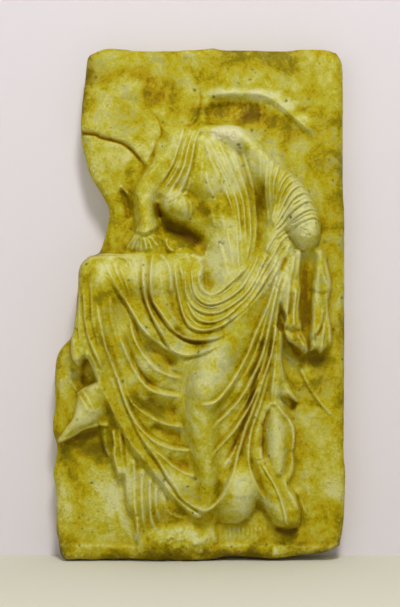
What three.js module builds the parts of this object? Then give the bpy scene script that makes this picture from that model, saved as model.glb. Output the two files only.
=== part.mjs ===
// Marble relief plaque: one carved slab, with a headless seated figure in heavy drapery.
// Millimetres, +Z up. The flat back lies in the plane y = 0 and the carving faces -Y.

import * as THREE from 'three';

// ---- Driving dimensions ----

const slabHeight = 616;
const slabThickness = 42;
const edgeRound = 9;
const rockDepth = 8;
const veilHollow = 5;
const tunicRise = 11;
const bodyRise = 14;
const clothRise = 27;
const kneeRise = 42;
const shinRise = 50;
const sleeveRise = 28;
const foldRise = 8;

// Wear and folds.
const wearPasses = 2;
const rubbedShare = 0.5; // how much of a place gives way to its neighbours at each pass
const rimFullness = 0.8; // a form's rim is round at 1 and squarer below
const foldWidth = 4.5;
const foldSharpness = 1.5;
const foldFade = 0.15; // share of a fold's length that each end fades over

// Fineness of the facets.
const gridPower = 7; // each half of the grid is 2 ** gridPower cells wide
const flatness = 2.15; // the misfit that a facet may have
const outlineCare = 3; // how much more a misfit counts on the outline
const cornerTurns = 8; // passes that bring the grid onto the outline

// Landmarks of the pose, across and up from the middle of the back.
const at = {
  rightShoulder: [-36, 196],
  rightElbow: [-66, 140],
  rightCuff: [-64, 90],
  rightBreast: [-26, 119],
  leftBreast: [12, 150],
  belly: [43, 60],
  leftShoulder: [36, 200],
  leftElbow: [106, 126],
  leftStump: [129, 82],
  knot: [82, 84],
  rightHip: [40, 26],
  rightKnee: [-113, 26],
  rightAnkle: [-128, -100],
  rightToe: [-160, -152],
  leftHip: [62, 20],
  leftKnee: [8, -103],
  leftAnkle: [8, -240],
  hemPoint: [-4, -257],
};

// ---- The slab's broken outline, corner to corner ----

const half = slabHeight / 2;
const leftEdge = [
  [-160, -half], [-170, -288], [-173, -230], [-176.5, -206], [-173, -180], [-177, -145], [-174, -100],
  [-171, -64], [-152, -38], [-146, 0], [-144, 40], [-122, 60], [-110, 100], [-121, 136], [-137, 172],
  [-143, 215], [-141, 250], [-135, 295], [-124, half - 5],
];
const rightEdge = [
  [168, -291], [174, -240], [173, -180], [173.5, -100], [174, 60], [172, 140], [172, 250], [171, 288],
  [164, 301],
];
const bottomEdge = [
  [-160, -half], [-90, -307], [-10, -309], [38, -304], [90, -307], [150, -299], [168, -291],
];
const topEdge = [[-124, half - 5], [-105, 306], [-60, 304], [15, 307], [90, 304], [150, 305], [164, 301]];

// The middle of the back, where the plaque beds on the wall. The rim joins the corner on its own side of
// bedMiddle, which is level with the notch in the left edge, so that no facet crosses the outline there.
const bedCorners = [[-90, -200], [110, -200], [110, 230], [-90, 230]];
const bedMiddle = [10, 100];

// ---- Curves and blends ----

function smooth(points, step = 4) {
  const places = points.map((p) => new THREE.Vector2(p[0], p[1]));
  const curve = new THREE.SplineCurve(places);
  const count = Math.max(2, Math.ceil(curve.getLength() / step));
  return curve.getSpacedPoints(count);
}

function lerp(a, b, t) {
  return a + (b - a) * t;
}

function ramp(x, from, to) {
  const t = Math.min(1, Math.max(0, (x - from) / (to - from)));
  return t * t * (3 - 2 * t);
}

function softMax(a, b, blend) {
  const h = Math.min(1, Math.max(0, 0.5 + (0.5 * (a - b)) / blend));
  return b + (a - b) * h + blend * h * (1 - h);
}

// How far a place is from a line of points, and how far along it that nearest place lies (0 to 1).
function nearest(line, x, z) {
  let best = Infinity;
  let along = 0;
  for (let i = 0; i + 1 < line.length; i += 1) {
    const a = line[i];
    const b = line[i + 1];
    const dx = b.x - a.x;
    const dz = b.y - a.y;
    const t = Math.min(1, Math.max(0, ((x - a.x) * dx + (z - a.y) * dz) / (dx * dx + dz * dz)));
    const distance = Math.hypot(x - a.x - t * dx, z - a.y - t * dz);
    if (distance < best) {
      best = distance;
      along = (i + t) / (line.length - 1);
    }
  }
  return { distance: best, along };
}

function isInside(line, x, z) {
  let inside = false;
  for (let i = 0; i < line.length; i += 1) {
    const a = line[i];
    const b = line[(i + 1) % line.length];
    if (a.y > z !== b.y > z && x < ((b.x - a.x) * (z - a.y)) / (b.y - a.y) + a.x) {
      inside = !inside;
    }
  }
  return inside;
}

function boxOf(line, reach) {
  const box = new THREE.Box2().setFromPoints(line);
  return box.expandByScalar(reach);
}

// ---- The grid that the carving is worked out on ----

// Two square halves, one above the other, so that its cells are nearly square.
const side = 2 ** gridPower;
const columns = side + 1;
const rows = 2 * side + 1;
const gridX = new Float64Array(columns * rows);
const gridZ = new Float64Array(columns * rows);
const rise = new Float64Array(columns * rows);

// A function that gives an edge's place in one direction from the place in the other.
function followEdge(points, key, value) {
  const line = smooth(points, 6);
  const last = line.length - 1;
  return (wanted) => {
    const found = line.findIndex((p, i) => i > 0 && p[key] >= wanted);
    const next = found > 0 ? found : last;
    const [a, b] = [line[next - 1], line[next]];
    const t = (wanted - a[key]) / (b[key] - a[key]);
    return lerp(a[value], b[value], Math.min(1, Math.max(0, t)));
  };
}

const leftAt = followEdge(leftEdge, 'y', 'x');
const rightAt = followEdge(rightEdge, 'y', 'x');
const bottomAt = followEdge(bottomEdge, 'x', 'y');
const topAt = followEdge(topEdge, 'x', 'y');

function placeGrid() {
  for (let row = 0; row < rows; row += 1) {
    for (let column = 0; column < columns; column += 1) {
      const u = column / (columns - 1);
      const v = row / (rows - 1);
      let x = lerp(-half / 2, half / 2, u);
      let z = lerp(-half, half, v);
      for (let turn = 0; turn < cornerTurns; turn += 1) {
        x = lerp(leftAt(z), rightAt(z), u);
        z = lerp(bottomAt(x), topAt(x), v);
      }
      gridX[row * columns + column] = x;
      gridZ[row * columns + column] = z;
    }
  }
}

function eachIn(box, work) {
  for (let i = 0; i < rise.length; i += 1) {
    const x = gridX[i];
    const z = gridZ[i];
    if (x > box.min.x && x < box.max.x && z > box.min.y && z < box.max.y) {
      work(i, x, z);
    }
  }
}

// ---- Carving tools ----

// A swelling form: a level surface that limbs and mounds rise out of.
class Form {
  constructor(level) {
    this.heights = new Float64Array(rise.length);
    this.heights.fill(level);
  }

  // A limb through [place, radius, height] stations.
  limb(stations, blend = 8, foot = 0) {
    const line = smooth(stations.map((station) => station[0]));
    const marks = stations.map((station) => nearest(line, ...station[0]).along);
    const widest = Math.max(...stations.map((station) => station[1]));
    eachIn(boxOf(line, widest * 1.6), (i, x, z) => {
      const { distance, along } = nearest(line, x, z);
      const next = Math.max(1, marks.findIndex((mark) => mark >= along));
      const [before, after] = [stations[next - 1], stations[next]];
      const t = (along - marks[next - 1]) / (marks[next] - marks[next - 1]);
      const radius = lerp(before[1], after[1], t);
      const top = lerp(before[2], after[2], t);
      const height = top - (top - foot) * (distance / radius) ** 2;
      this.heights[i] = softMax(this.heights[i], height, blend);
    });
    return this;
  }

  dip(points, depth, width) {
    const line = smooth(points);
    eachIn(boxOf(line, width * 2.5), (i, x, z) => {
      const { distance } = nearest(line, x, z);
      this.heights[i] -= depth * Math.exp(-((distance / width) ** 2));
    });
    return this;
  }

  // Sets the form down on the stone inside an outline, rounded off at its rim.
  layInside(outline, rim) {
    const line = smooth([...outline, outline[0]]);
    eachIn(boxOf(line, 1), (i, x, z) => {
      if (isInside(line, x, z)) {
        const q = Math.min(1, nearest(line, x, z).distance / rim);
        const over = Math.max(0, this.heights[i] - rise[i]);
        rise[i] += over * Math.sin((q * Math.PI) / 2) ** rimFullness;
      }
    });
  }
}

// A ridge of cloth along a line, thinned out towards both ends.
function fold(points, height = foldRise, width = foldWidth) {
  const line = smooth(points);
  eachIn(boxOf(line, width * 3), (i, x, z) => {
    const { distance, along } = nearest(line, x, z);
    const fade = ramp(along, 0, foldFade) * ramp(1 - along, 0, foldFade);
    rise[i] += height * fade * Math.exp(-((distance / width) ** foldSharpness));
  });
}

// Folds that pass evenly from one guide line to another.
function foldFamily(first, last, count, height, width) {
  for (let i = 0; i < count; i += 1) {
    const t = i / (count - 1);
    const between = first.map((p, k) => [lerp(p[0], last[k][0], t), lerp(p[1], last[k][1], t)]);
    fold(between, height, width);
  }
}

function groove(points, depth, width) {
  fold(points, -depth, width);
}

// ---- The rock ground ----

const crack = [[-190, 211], [-130, 203], [-100, 194], [-79, 180], [-62, 161]];

function carveRock() {
  const block = new Form(rockDepth);
  const blockTop = [[-50, 190], [-45, 204], [-52, 224], [-90, 262], [-150, 300], [-190, 300]];
  block.layInside([...crack, ...blockTop], edgeRound * 3);
  groove(crack, rockDepth / 2, 4);
  const veil = [[5, 232], [45, 236], [80, 228], [112, 205], [140, 170], [146, 130]];
  fold(veil, -veilHollow, 16);
  fold([[4, 246], [45, 252], [98, 237], [142, 196], [152, 178]], veilHollow / 2, 9);
}

// ---- The tunic below the hem, and the standing foot's side ----

function carveTunic() {
  const outline = [
    [-117, -130], [-117, -170], [-104, -203], [-88, -243], [-75, -286], [20, -290], [21, -262],
    [60, -200], [0, -160], [-60, -130], [-100, -120],
  ];
  new Form(tunicRise).layInside(outline, 7);
  foldFamily([[-98, -150], [-98, -178], [-94, -205]], [[-104, -148], [-104, -178], [-98, -203]], 2, 5, 3);
  foldFamily([[-79, -185], [-79, -230], [-72, -282]], [[-45, -225], [-46, -252], [-30, -278]], 4, 4, 3.5);
}

function carveFootSide() {
  const outline = [
    [80, -20], [100, -35], [98, -60], [118, -119], [97, -112], [113, -150], [112, -200], [106, -219],
    [124, -242], [122, -268], [94, -269], [78, -250], [68, -238], [48, -180], [60, -130],
  ];
  const form = new Form(bodyRise);
  form.limb([[[92, -20], 18, 27], [[90, -100], 12, 22], [[87, -118], 8, 18]], 4);
  form.limb([[[88, -128], 9, 17], [[88, -160], 14, 20], [[89, -198], 14, 20]], 3, 6);
  form.limb([[[76, -196], 12, 20], [[97, -238], 20, 27], [[103, -256], 22, 29]], 5, 4);
  form.layInside(outline, 7);
  const mound = new Form(6);
  mound.limb([[[47, -240], 27, 24], [[43, -215], 26, 23]], 3, 4);
  mound.layInside([[20, -262], [40, -264], [62, -250], [70, -215], [45, -180], [15, -235]], 7);
}

// ---- Cloth ends that hang below the lost hand ----

function carveHangingEnds() {
  const near = new Form(19);
  near.limb([[[112, 60], 10, sleeveRise], [[113, 20], 9, sleeveRise], [[112, -25], 9, 26]], 3, 8);
  const nearEnd = [[116, 62], [121, 0], [120, -28], [129, -58], [110, -51], [96, -20], [94, 10], [106, 60]];
  near.layInside(nearEnd, 6);
  const far = new Form(20);
  far.limb([[[144, 50], 12, sleeveRise], [[144, 0], 15, sleeveRise], [[144, -52], 15, 30]], 3, 8);
  const farEnd = [[136, 64], [132, 0], [129, -50], [134, -59], [157, -53], [156, 0], [160, 18], [143, 64]];
  far.layInside(farEnd, 6);
}

// ---- The body: neck, chest, right arm and belly ----

function carveBody() {
  const form = new Form(bodyRise);
  const spine = [[[-10, 210], 40, 20], [[8, 155], 58, 31], [[38, 98], 46, 29], [at.belly, 46, 32]];
  form.limb([...spine, [[38, 5], 46, 33]]);
  form.limb([[at.rightBreast, 23, 37], [[-24, 122], 23, 37]], 8, 8);
  form.limb([[at.leftBreast, 24, 36], [[16, 150], 24, 36]], 10, 14);
  const rightArm = [[at.rightShoulder, 24, 21], [at.rightElbow, 22, 25], [[-67, 115], 19, 30]];
  form.limb([...rightArm, [at.rightCuff, 16, 35]]);
  form.dip([[-30, 104], [-14, 98], [-2, 84], [6, 62]], 8, 10);
  form.dip([[-12, 130], [2, 120], [24, 130]], 6, 9);
  const outline = [
    [-24, 213], [-45, 212], [-51, 188], [-61, 159], [-78, 150], [-92, 141], [-81, 117], [-79, 95], [-65, 82],
    [-50, 93], [-36, 99], [-17, 102], [0, 82], [4, 60], [0, 20], [20, -10], [100, -10], [100, 60], [74, 120],
    [54, 200], [20, 213],
  ];
  form.layInside(outline, 13);
  const held = new Form(10);
  held.limb([[[-64, 92], 22, 30], [[-62, 76], 26, 28], [[-55, 60], 30, 26]], 6);
  held.limb([[[-40, 76], 12, 26], [[-28, 62], 14, 26], [[-8, 52], 14, 26]], 5);
  held.layInside([[-76, 88], [-92, 58], [-92, 40], [10, 30], [-6, 62], [-36, 82], [-52, 95], [-64, 98]], 8);
  foldFamily([[-4, 206], [-19, 168], [-44, 131]], [[2, 200], [27, 148], [48, 78]], 5, 5, 4);
}

// ---- The mantle round the left arm ----

function carveMantleSleeve() {
  const form = new Form(16);
  form.limb([[at.leftShoulder, 24, 29], [[84, 156], 34, 33], [at.leftElbow, 36, 35], [at.leftStump, 26, 40]]);
  const outline = [
    [12, 212], [40, 216], [64, 201], [84, 180], [104, 161], [129, 135], [146, 100], [144, 70], [128, 57],
    [104, 68], [84, 73], [72, 113], [58, 148], [46, 190], [18, 194],
  ];
  form.layInside(outline, 11);
  foldFamily([[112, 156], [92, 134], at.knot], [[140, 98], [114, 92], at.knot], 5, 6, 3.5);
}

// ---- The mantle over the lap and legs ----

function carveLap() {
  const form = new Form(clothRise - 4);
  form.limb([[at.rightHip, 44, 34], [[-30, 28], 40, 34], [at.rightKnee, 37, kneeRise]]);
  const rightShin = [[at.rightKnee, 36, kneeRise], [[-120, -35], 32, 38], [at.rightAnkle, 20, 28]];
  form.limb([...rightShin, [[-132, -112], 16, 26]]);
  form.limb([[at.leftHip, 44, 36], [[34, -40], 44, 46], [at.leftKnee, 32, shinRise - 1]], 9);
  form.limb([[at.leftKnee, 31, shinRise - 1], [[8, -180], 22, 36], [at.leftAnkle, 18, 25]], 6);
  form.limb([[[84, 70], 14, 36], [[84, 0], 18, 36], [[76, -40], 16, 34]], 7);
  form.dip([[-50, -50], [-30, -90], [-30, -130], [-20, -195]], 9, 12);
  const outline = [
    [-120, 60], [-146, 45], [-152, -20], [-153, -62], [-141, -74], [-131, -68], [-110, -120], [-84, -170],
    [-50, -212], [-25, -240], at.hemPoint, [18, -245], [40, -205], [57, -150], [86, -60], [99, 10], [112, 62],
    [92, 76], [72, 62], [50, 22], [25, 9], [3, 12], [-2, 36], [-22, 61], [-60, 60],
  ];
  form.layInside(outline, 8);
}

function carveShin() {
  const form = new Form(10);
  form.limb([[[34, -40], 44, 48], [[16, -78], 36, shinRise + 2], [at.leftKnee, 30, shinRise + 1]], 6);
  form.limb([[at.leftKnee, 30, shinRise + 1], [[6, -140], 26, 44], [[12, -205], 18, 31]], 6);
  const outline = [
    [-6, -64], [-21, -90], [-23, -125], [-17, -156], [-6, -205], [8, -215], [30, -180], [60, -90], [70, -40],
    [12, -50],
  ];
  form.layInside(outline, 9);
}

function carveLapFolds() {
  const firstSwag = [[-14, 44], [-8, 8], [12, -4], [50, 16], [78, 60]];
  const lastSwag = [[-31, 56], [-19, -14], [0, -32], [52, -6], [98, 62]];
  foldFamily(firstSwag, lastSwag, 4, foldRise - 2, 4);
  foldFamily(
    [[-57, 50], [-46, -10], [0, -43], [40, -28]],
    [[-66, 48], [-52, -24], [-15, -61], [25, -46]],
    2,
    foldRise - 1,
    foldWidth,
  );
  foldFamily(
    [[-106, 32], [-76, -15], [-48, -50], [-20, -60]],
    [[-116, -30], [-92, -104], [-60, -160], [-10, -175]],
    5,
    foldRise,
    5,
  );
  fold([[-95, -98], [-60, -170], [-30, -215], [-3, -243], [20, -240]]);
  fold([[-127, -66], [-94, -143], [-46, -208], [-2, -252], [20, -240]], 5, 5);
  foldFamily(
    [[104, 58], [80, -8], [55, -78], [18, -144]],
    [[98, 40], [84, -38], [57, -135], [7, -248]],
    3,
    foldRise,
    foldWidth,
  );
  fold([[80, -88], [58, -165], [77, -238]], foldRise, 4);
  foldFamily([[86, -116], [73, -150], [73, -186]], [[86, -116], [111, -150], [110, -178]], 2, foldRise, 3.5);
}

function carveRightFoot() {
  const form = new Form(9);
  form.limb([[[-128, -108], 20, 29], [[-147, -140], 15, 25], [at.rightToe, 11, 19]], 4, 4);
  const outline = [
    [-146, -105], [-122, -108], [-119, -150], [-140, -153], [-168, -168], [-172, -163], [-151, -134],
  ];
  form.layInside(outline, 6);
}

// ---- Wear ----

// Rubs every place down towards the mean of its neighbours.
function wearSurface() {
  for (let pass = 0; pass < wearPasses; pass += 1) {
    const before = rise.slice();
    for (let i = columns + 1; i < rise.length - columns - 1; i += 1) {
      const around = before[i - 1] + before[i + 1] + before[i - columns] + before[i + columns];
      rise[i] = lerp(before[i], around / 4, rubbedShare);
    }
  }
}

function wearRim() {
  for (let i = 0; i < rise.length; i += 1) {
    const x = gridX[i];
    const z = gridZ[i];
    const across = Math.min(x - leftAt(z), rightAt(z) - x);
    const upward = Math.min(z - bottomAt(x), topAt(x) - z);
    const inward = Math.max(0, Math.min(1, across / edgeRound, upward / edgeRound));
    rise[i] -= edgeRound * (1 - Math.sqrt(1 - (1 - inward) ** 2));
  }
}

// ---- The mesh: triangles are small only where the surface bends ----

// The four triangles that fill the grid: long side from a to b, right angle at c.
const halves = [0, side].flatMap((low) => [
  [[0, low], [side, low + side], [side, low]],
  [[side, low + side], [0, low], [0, low + side]],
]);

// Halves a triangle again and again, as long as visit answers that it should go on.
function refine(a, b, c, depth, visit) {
  const middle = [(a[0] + b[0]) / 2, (a[1] + b[1]) / 2];
  const goesOn = depth > 0 && visit(a, b, c, middle, depth);
  if (goesOn) {
    refine(c, a, middle, depth - 1, visit);
    refine(b, c, middle, depth - 1, visit);
  }
}

function indexOf(place) {
  return place[1] * columns + place[0];
}

// How far a middle point lies from halfway between two others: in height, and on the outline too.
function missAt(middle, a, b) {
  const i = indexOf(middle);
  const height = Math.abs((rise[a] + rise[b]) / 2 - rise[i]);
  if (middle[0] % side > 0 && middle[1] % (2 * side) > 0) {
    return height;
  }
  const sideways = Math.hypot((gridX[a] + gridX[b]) / 2 - gridX[i], (gridZ[a] + gridZ[b]) / 2 - gridZ[i]);
  return height + sideways * outlineCare;
}

// The worst misfit that leaving out each middle point would bring, its own or a smaller one's.
function measureMisfit() {
  const misfit = new Float64Array(rise.length);
  for (let level = 1; level <= 2 * gridPower; level += 1) {
    const visit = (a, b, c, middle, depth) => {
      if (depth === level) {
        const i = indexOf(middle);
        misfit[i] = Math.max(misfit[i], missAt(middle, indexOf(a), indexOf(b)));
        if (level > 1) {
          const left = indexOf([(a[0] + c[0]) / 2, (a[1] + c[1]) / 2]);
          const right = indexOf([(b[0] + c[0]) / 2, (b[1] + c[1]) / 2]);
          misfit[i] = Math.max(misfit[i], misfit[left], misfit[right]);
        }
      }
      return depth > level;
    };
    for (const [a, b, c] of halves) {
      refine(a, b, c, 2 * gridPower, visit);
    }
  }
  return misfit;
}

function frontTriangles(misfit) {
  const corners = [];
  const cut = (a, b, c, depth) => {
    const middle = [(a[0] + b[0]) / 2, (a[1] + b[1]) / 2];
    if (depth > 0 && misfit[indexOf(middle)] > flatness) {
      cut(c, a, middle, depth - 1);
      cut(b, c, middle, depth - 1);
    } else {
      corners.push(indexOf(a), indexOf(c), indexOf(b));
    }
  };
  for (const [a, b, c] of halves) {
    cut(a, b, c, 2 * gridPower);
  }
  return corners;
}

// The rim of the front as a loop of grid places, in the order that the front's triangles run.
function rimLoop(corners) {
  const next = new Map();
  const key = (p, q) => p * rise.length + q;
  const edges = new Map();
  for (let i = 0; i < corners.length; i += 3) {
    for (let corner = 0; corner < 3; corner += 1) {
      const p = corners[i + corner];
      const q = corners[i + ((corner + 1) % 3)];
      edges.set(key(p, q), [p, q]);
    }
  }
  for (const [p, q] of edges.values()) {
    if (!edges.has(key(q, p))) {
      next.set(p, q);
    }
  }
  const loop = [next.keys().next().value];
  while (next.get(loop[loop.length - 1]) !== loop[0]) {
    loop.push(next.get(loop[loop.length - 1]));
  }
  return loop;
}

function solidGeometry() {
  const corners = frontTriangles(measureMisfit());
  const loop = rimLoop(corners);
  const positions = [];
  const numbers = new Map();
  const vertex = (x, y, z) => positions.push(x, y, z) / 3 - 1;
  const front = (i) => {
    if (!numbers.has(i)) {
      numbers.set(i, vertex(gridX[i], -(slabThickness + rise[i]), gridZ[i]));
    }
    return numbers.get(i);
  };
  const triangles = corners.map(front);
  const rimBack = loop.map((i) => vertex(gridX[i], 0, gridZ[i]));
  loop.forEach((p, i) => {
    const j = (i + 1) % loop.length;
    triangles.push(front(loop[j]), front(p), rimBack[i]);
    triangles.push(front(loop[j]), rimBack[i], rimBack[j]);
  });
  const bed = bedCorners.map(([x, z]) => vertex(x, 0, z));
  const bedCornerFor = (i) => {
    const isLow = gridZ[i] < bedMiddle[1];
    if (gridX[i] < bedMiddle[0]) {
      return isLow ? 0 : 3;
    }
    return isLow ? 1 : 2;
  };
  loop.forEach((p, i) => {
    const j = (i + 1) % loop.length;
    const here = bedCornerFor(p);
    const there = bedCornerFor(loop[j]);
    triangles.push(rimBack[j], rimBack[i], bed[here]);
    if (here !== there) {
      triangles.push(rimBack[j], bed[here], bed[there]);
    }
  });
  triangles.push(bed[0], bed[3], bed[2], bed[0], bed[2], bed[1]);
  const geometry = new THREE.BufferGeometry();
  geometry.setAttribute('position', new THREE.Float32BufferAttribute(positions, 3));
  geometry.setIndex(triangles);
  geometry.computeVertexNormals();
  return geometry;
}

// ---- The plaque ----

placeGrid();
carveRock();
carveTunic();
carveFootSide();
carveHangingEnds();
carveBody();
carveMantleSleeve();
carveLap();
carveShin();
carveLapFolds();
carveRightFoot();
wearSurface();
wearRim();

const marble = new THREE.MeshStandardMaterial({ color: 0xa69a4c, roughness: 0.6, metalness: 0 });
const plaque = new THREE.Mesh(solidGeometry(), marble);
plaque.name = 'relief_plaque';

const object = new THREE.Group();
object.add(plaque);

export default object;
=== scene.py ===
import math
import time

import bpy
import numpy as np
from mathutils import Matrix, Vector


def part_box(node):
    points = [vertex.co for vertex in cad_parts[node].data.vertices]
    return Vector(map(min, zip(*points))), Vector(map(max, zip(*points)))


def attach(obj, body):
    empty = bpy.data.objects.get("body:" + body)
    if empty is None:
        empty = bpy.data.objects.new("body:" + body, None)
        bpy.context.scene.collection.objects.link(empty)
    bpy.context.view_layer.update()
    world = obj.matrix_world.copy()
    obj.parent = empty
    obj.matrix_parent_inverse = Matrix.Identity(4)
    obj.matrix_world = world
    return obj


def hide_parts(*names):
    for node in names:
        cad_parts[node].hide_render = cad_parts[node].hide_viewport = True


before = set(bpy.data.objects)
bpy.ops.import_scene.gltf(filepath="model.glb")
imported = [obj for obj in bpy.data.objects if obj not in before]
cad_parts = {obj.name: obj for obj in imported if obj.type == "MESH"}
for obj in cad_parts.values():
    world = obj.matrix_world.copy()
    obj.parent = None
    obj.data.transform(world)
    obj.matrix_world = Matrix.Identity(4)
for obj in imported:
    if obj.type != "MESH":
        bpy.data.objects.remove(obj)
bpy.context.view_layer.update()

started = time.time()
mm = 0.001
tiny = 1e-9
plaqueNode = "relief_plaque"
boxLow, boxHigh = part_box(plaqueNode)
random = np.random.RandomState(17)


def stage(text):
    print(f"[{time.time() - started:5.1f} s] {text}")


# All carving is worked out in millimetres, x across and z up from the middle of the flat back.
slab = {
    "thickness": 42.0,
    "step": 0.8,            # spacing of the height raster
    "margin": 8.0,          # raster beyond the outline
    "rimWidth": 11.0,       # worn front edge
    "rimDrop": 7.5,
    "backRound": 3.0,
    "sideRings": 16,
    "sideRough": 1.1,
    "triangles": 188000,
    "gridPasses": 8,        # times that the face grid is drawn out to the four edges
}

leftEdge = [
    (-160, -309), (-167, -303), (-170, -288), (-173, -270), (-173, -228), (-176.5, -206), (-173, -186),
    (-172.5, -170), (-176.5, -155), (-177, -140), (-174, -125), (-175, -92), (-173, -68), (-166, -53),
    (-152, -38), (-148.5, -20), (-145.5, 20), (-143.5, 42), (-134, 55), (-122, 60), (-115, 78), (-109, 105),
    (-112, 120), (-121, 136), (-131, 152), (-137, 172), (-142, 195), (-143, 215), (-141, 245), (-138, 270),
    (-135, 295), (-124, 303),
]
rightEdge = [
    (168, -291), (172, -270), (174, -240), (174.5, -200), (173, -180), (173.5, -100), (174, 60), (173.5, 110),
    (172, 140), (172, 220), (172, 260), (171, 288), (164, 301),
]
bottomEdge = [
    (-160, -309), (-130, -308), (-90, -307), (-60, -308.5), (0, -309), (35, -304), (60, -305), (90, -307),
    (115, -303), (150, -299), (168, -291),
]
topEdge = [
    (-124, 303), (-112, 306.5), (-90, 306), (-80, 304.5), (-60, 304), (-10, 305), (15, 307), (30, 305),
    (100, 304), (120, 305.5), (150, 305), (164, 301),
]


# Curves and blends

def throughPoints(points, spacing=2.5):
    # a smooth curve through the points; values after x and z run along with it
    p = np.array(points, float)
    if len(p) == 2:
        count = max(2, int(np.linalg.norm((p[1] - p[0])[:2]) / spacing) + 1)
        return p[0] + (p[1] - p[0]) * np.linspace(0, 1, count)[:, None]
    padded = np.vstack([2 * p[0] - p[1], p, 2 * p[-1] - p[-2]])
    out = []
    for i in range(len(p) - 1):
        a, b, c, d = padded[i:i + 4]
        count = max(2, int(np.linalg.norm((c - b)[:2]) / spacing) + 1)
        t = np.linspace(0, 1, count, endpoint=False)[:, None]
        out.append(0.5 * (2 * b + (c - a) * t + (2 * a - 5 * b + 4 * c - d) * t ** 2
                          + (3 * b - a - 3 * c + d) * t ** 3))
    out.append(p[-1:])
    return np.vstack(out)


def lengthsAlong(line):
    steps = np.linalg.norm(np.diff(line[:, :2], axis=0), axis=1)
    return np.concatenate([[0], np.cumsum(steps)])


def softMax(a, b, blend):
    # the higher of the two, with a soft join where they meet
    h = np.clip(0.5 + 0.5 * (a - b) / blend, 0, 1)
    return b + (a - b) * h + blend * h * (1 - h)


def ramp(x, low, high):
    t = np.clip((x - low) / (high - low), 0, 1)
    return t * t * (3 - 2 * t)


def blur(heights, sigma):
    reach = max(1, int(3 * sigma / slab["step"]))
    kernel = np.exp(-0.5 * (np.arange(-reach, reach + 1) * slab["step"] / sigma) ** 2)
    kernel /= kernel.sum()
    spread = np.pad(heights, reach, mode="edge")
    spread = np.apply_along_axis(lambda row: np.convolve(row, kernel, "valid"), 0, spread)
    return np.apply_along_axis(lambda row: np.convolve(row, kernel, "valid"), 1, spread)


latticeStart = 400.0        # the lattice of a cloud starts this far left of and below the middle


def cloud(x, z, size, octaves=4, fall=0.5):
    # soft random unevenness about zero, from lattices that each have cells half as wide as the last
    total = np.zeros(np.shape(x))
    strength = 1.0
    for octave in range(octaves):
        cell = size / 2 ** octave
        u = (x + latticeStart) / cell
        v = (z + latticeStart) / cell
        across = int(np.max(u)) + 3
        upward = int(np.max(v)) + 3
        lattice = random.uniform(-1, 1, (upward, across))
        i = np.floor(u).astype(int)
        j = np.floor(v).astype(int)
        s = ramp(u - i, 0, 1)
        t = ramp(v - j, 0, 1)
        low = lattice[j, i] * (1 - s) + lattice[j, i + 1] * s
        high = lattice[j + 1, i] * (1 - s) + lattice[j + 1, i + 1] * s
        total += strength * (low * (1 - t) + high * t)
        strength *= fall
    return total


# The stone: a raster of heights over the slab's face

xs = np.arange(boxLow[0] / mm - slab["margin"], boxHigh[0] / mm + slab["margin"], slab["step"])
zs = np.arange(boxLow[2] / mm - slab["margin"], boxHigh[2] / mm + slab["margin"], slab["step"])
acrossMap, upMap = np.meshgrid(xs, zs)
height = np.zeros_like(acrossMap)

# Every line is cut by hand, so it wanders a little, and every fold swells and thins.
wander = {"size": 52.0, "reach": 1.1, "octaves": 3, "fall": 0.4, "foldSize": 36.0}


def strayed(places):
    stray = cloud(acrossMap, upMap, wander["size"], wander["octaves"], wander["fall"])
    return places + wander["reach"] * stray


handX = strayed(acrossMap)
handZ = strayed(upMap)
liveliness = cloud(acrossMap, upMap, wander["foldSize"], wander["octaves"])

# How many radii or widths out from its middle each kind of form is worked out
formReach = {"limb": 1.8, "dip": 2.6, "hollow": 3.4, "pit": 3, "fold": 6}
foldMargin = 3              # and this far beyond that for a fold
outlineReach = 14           # how far beyond an outline the distance from it is known
outlineSoft = 0.8           # how far outside its outline a form starts to rise
pitSharpness = 2.5
grimeAndShadeWider = 1.25            # dirt and painted shade lie this much wider than the hollow that holds them


def window(line, reach):
    # the part of the raster round a line
    left, right = np.searchsorted(xs, [line[:, 0].min() - reach, line[:, 0].max() + reach])
    low, high = np.searchsorted(zs, [line[:, 1].min() - reach, line[:, 1].max() + reach])
    return slice(low, high), slice(left, right)


def nearLine(line, reach):
    # for each point near the line: distance, side (above zero is left of its run) and place along it, 0 to 1
    area = window(line, reach + 2 * wander["reach"])
    x, z = handX[area], handZ[area]
    nearest = np.full(x.shape, np.inf)
    side = np.zeros(x.shape)
    along = np.zeros(x.shape)
    lengths = lengthsAlong(line)
    for i in range(len(line) - 1):
        ax, az = line[i, :2]
        dx, dz = line[i + 1, :2] - line[i, :2]
        square = dx * dx + dz * dz
        if square < tiny:
            continue
        t = np.clip(((x - ax) * dx + (z - az) * dz) / square, 0, 1)
        offX = x - ax - t * dx
        offZ = z - az - t * dz
        distance = offX * offX + offZ * offZ
        closer = distance < nearest
        nearest[closer] = distance[closer]
        side[closer] = np.sign(dx * offZ - dz * offX)[closer]
        along[closer] = ((lengths[i] + t * (lengths[i + 1] - lengths[i])) / lengths[-1])[closer]
    return area, np.sqrt(nearest), side, along


def insideOutline(outline, reach=outlineReach):
    # distance from a closed outline, above zero inside it
    line = throughPoints(list(outline) + [outline[0]], 3)
    area, distance, _, _ = nearLine(line, reach)
    x, z = handX[area], handZ[area]
    inside = np.zeros(x.shape, bool)
    for (ax, az), (bx, bz) in zip(line[:-1], line[1:]):
        if az != bz:
            inside ^= ((az > z) != (bz > z)) & (x < (bx - ax) * (z - az) / (bz - az) + ax)
    return area, np.where(inside, distance, -distance)


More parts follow.
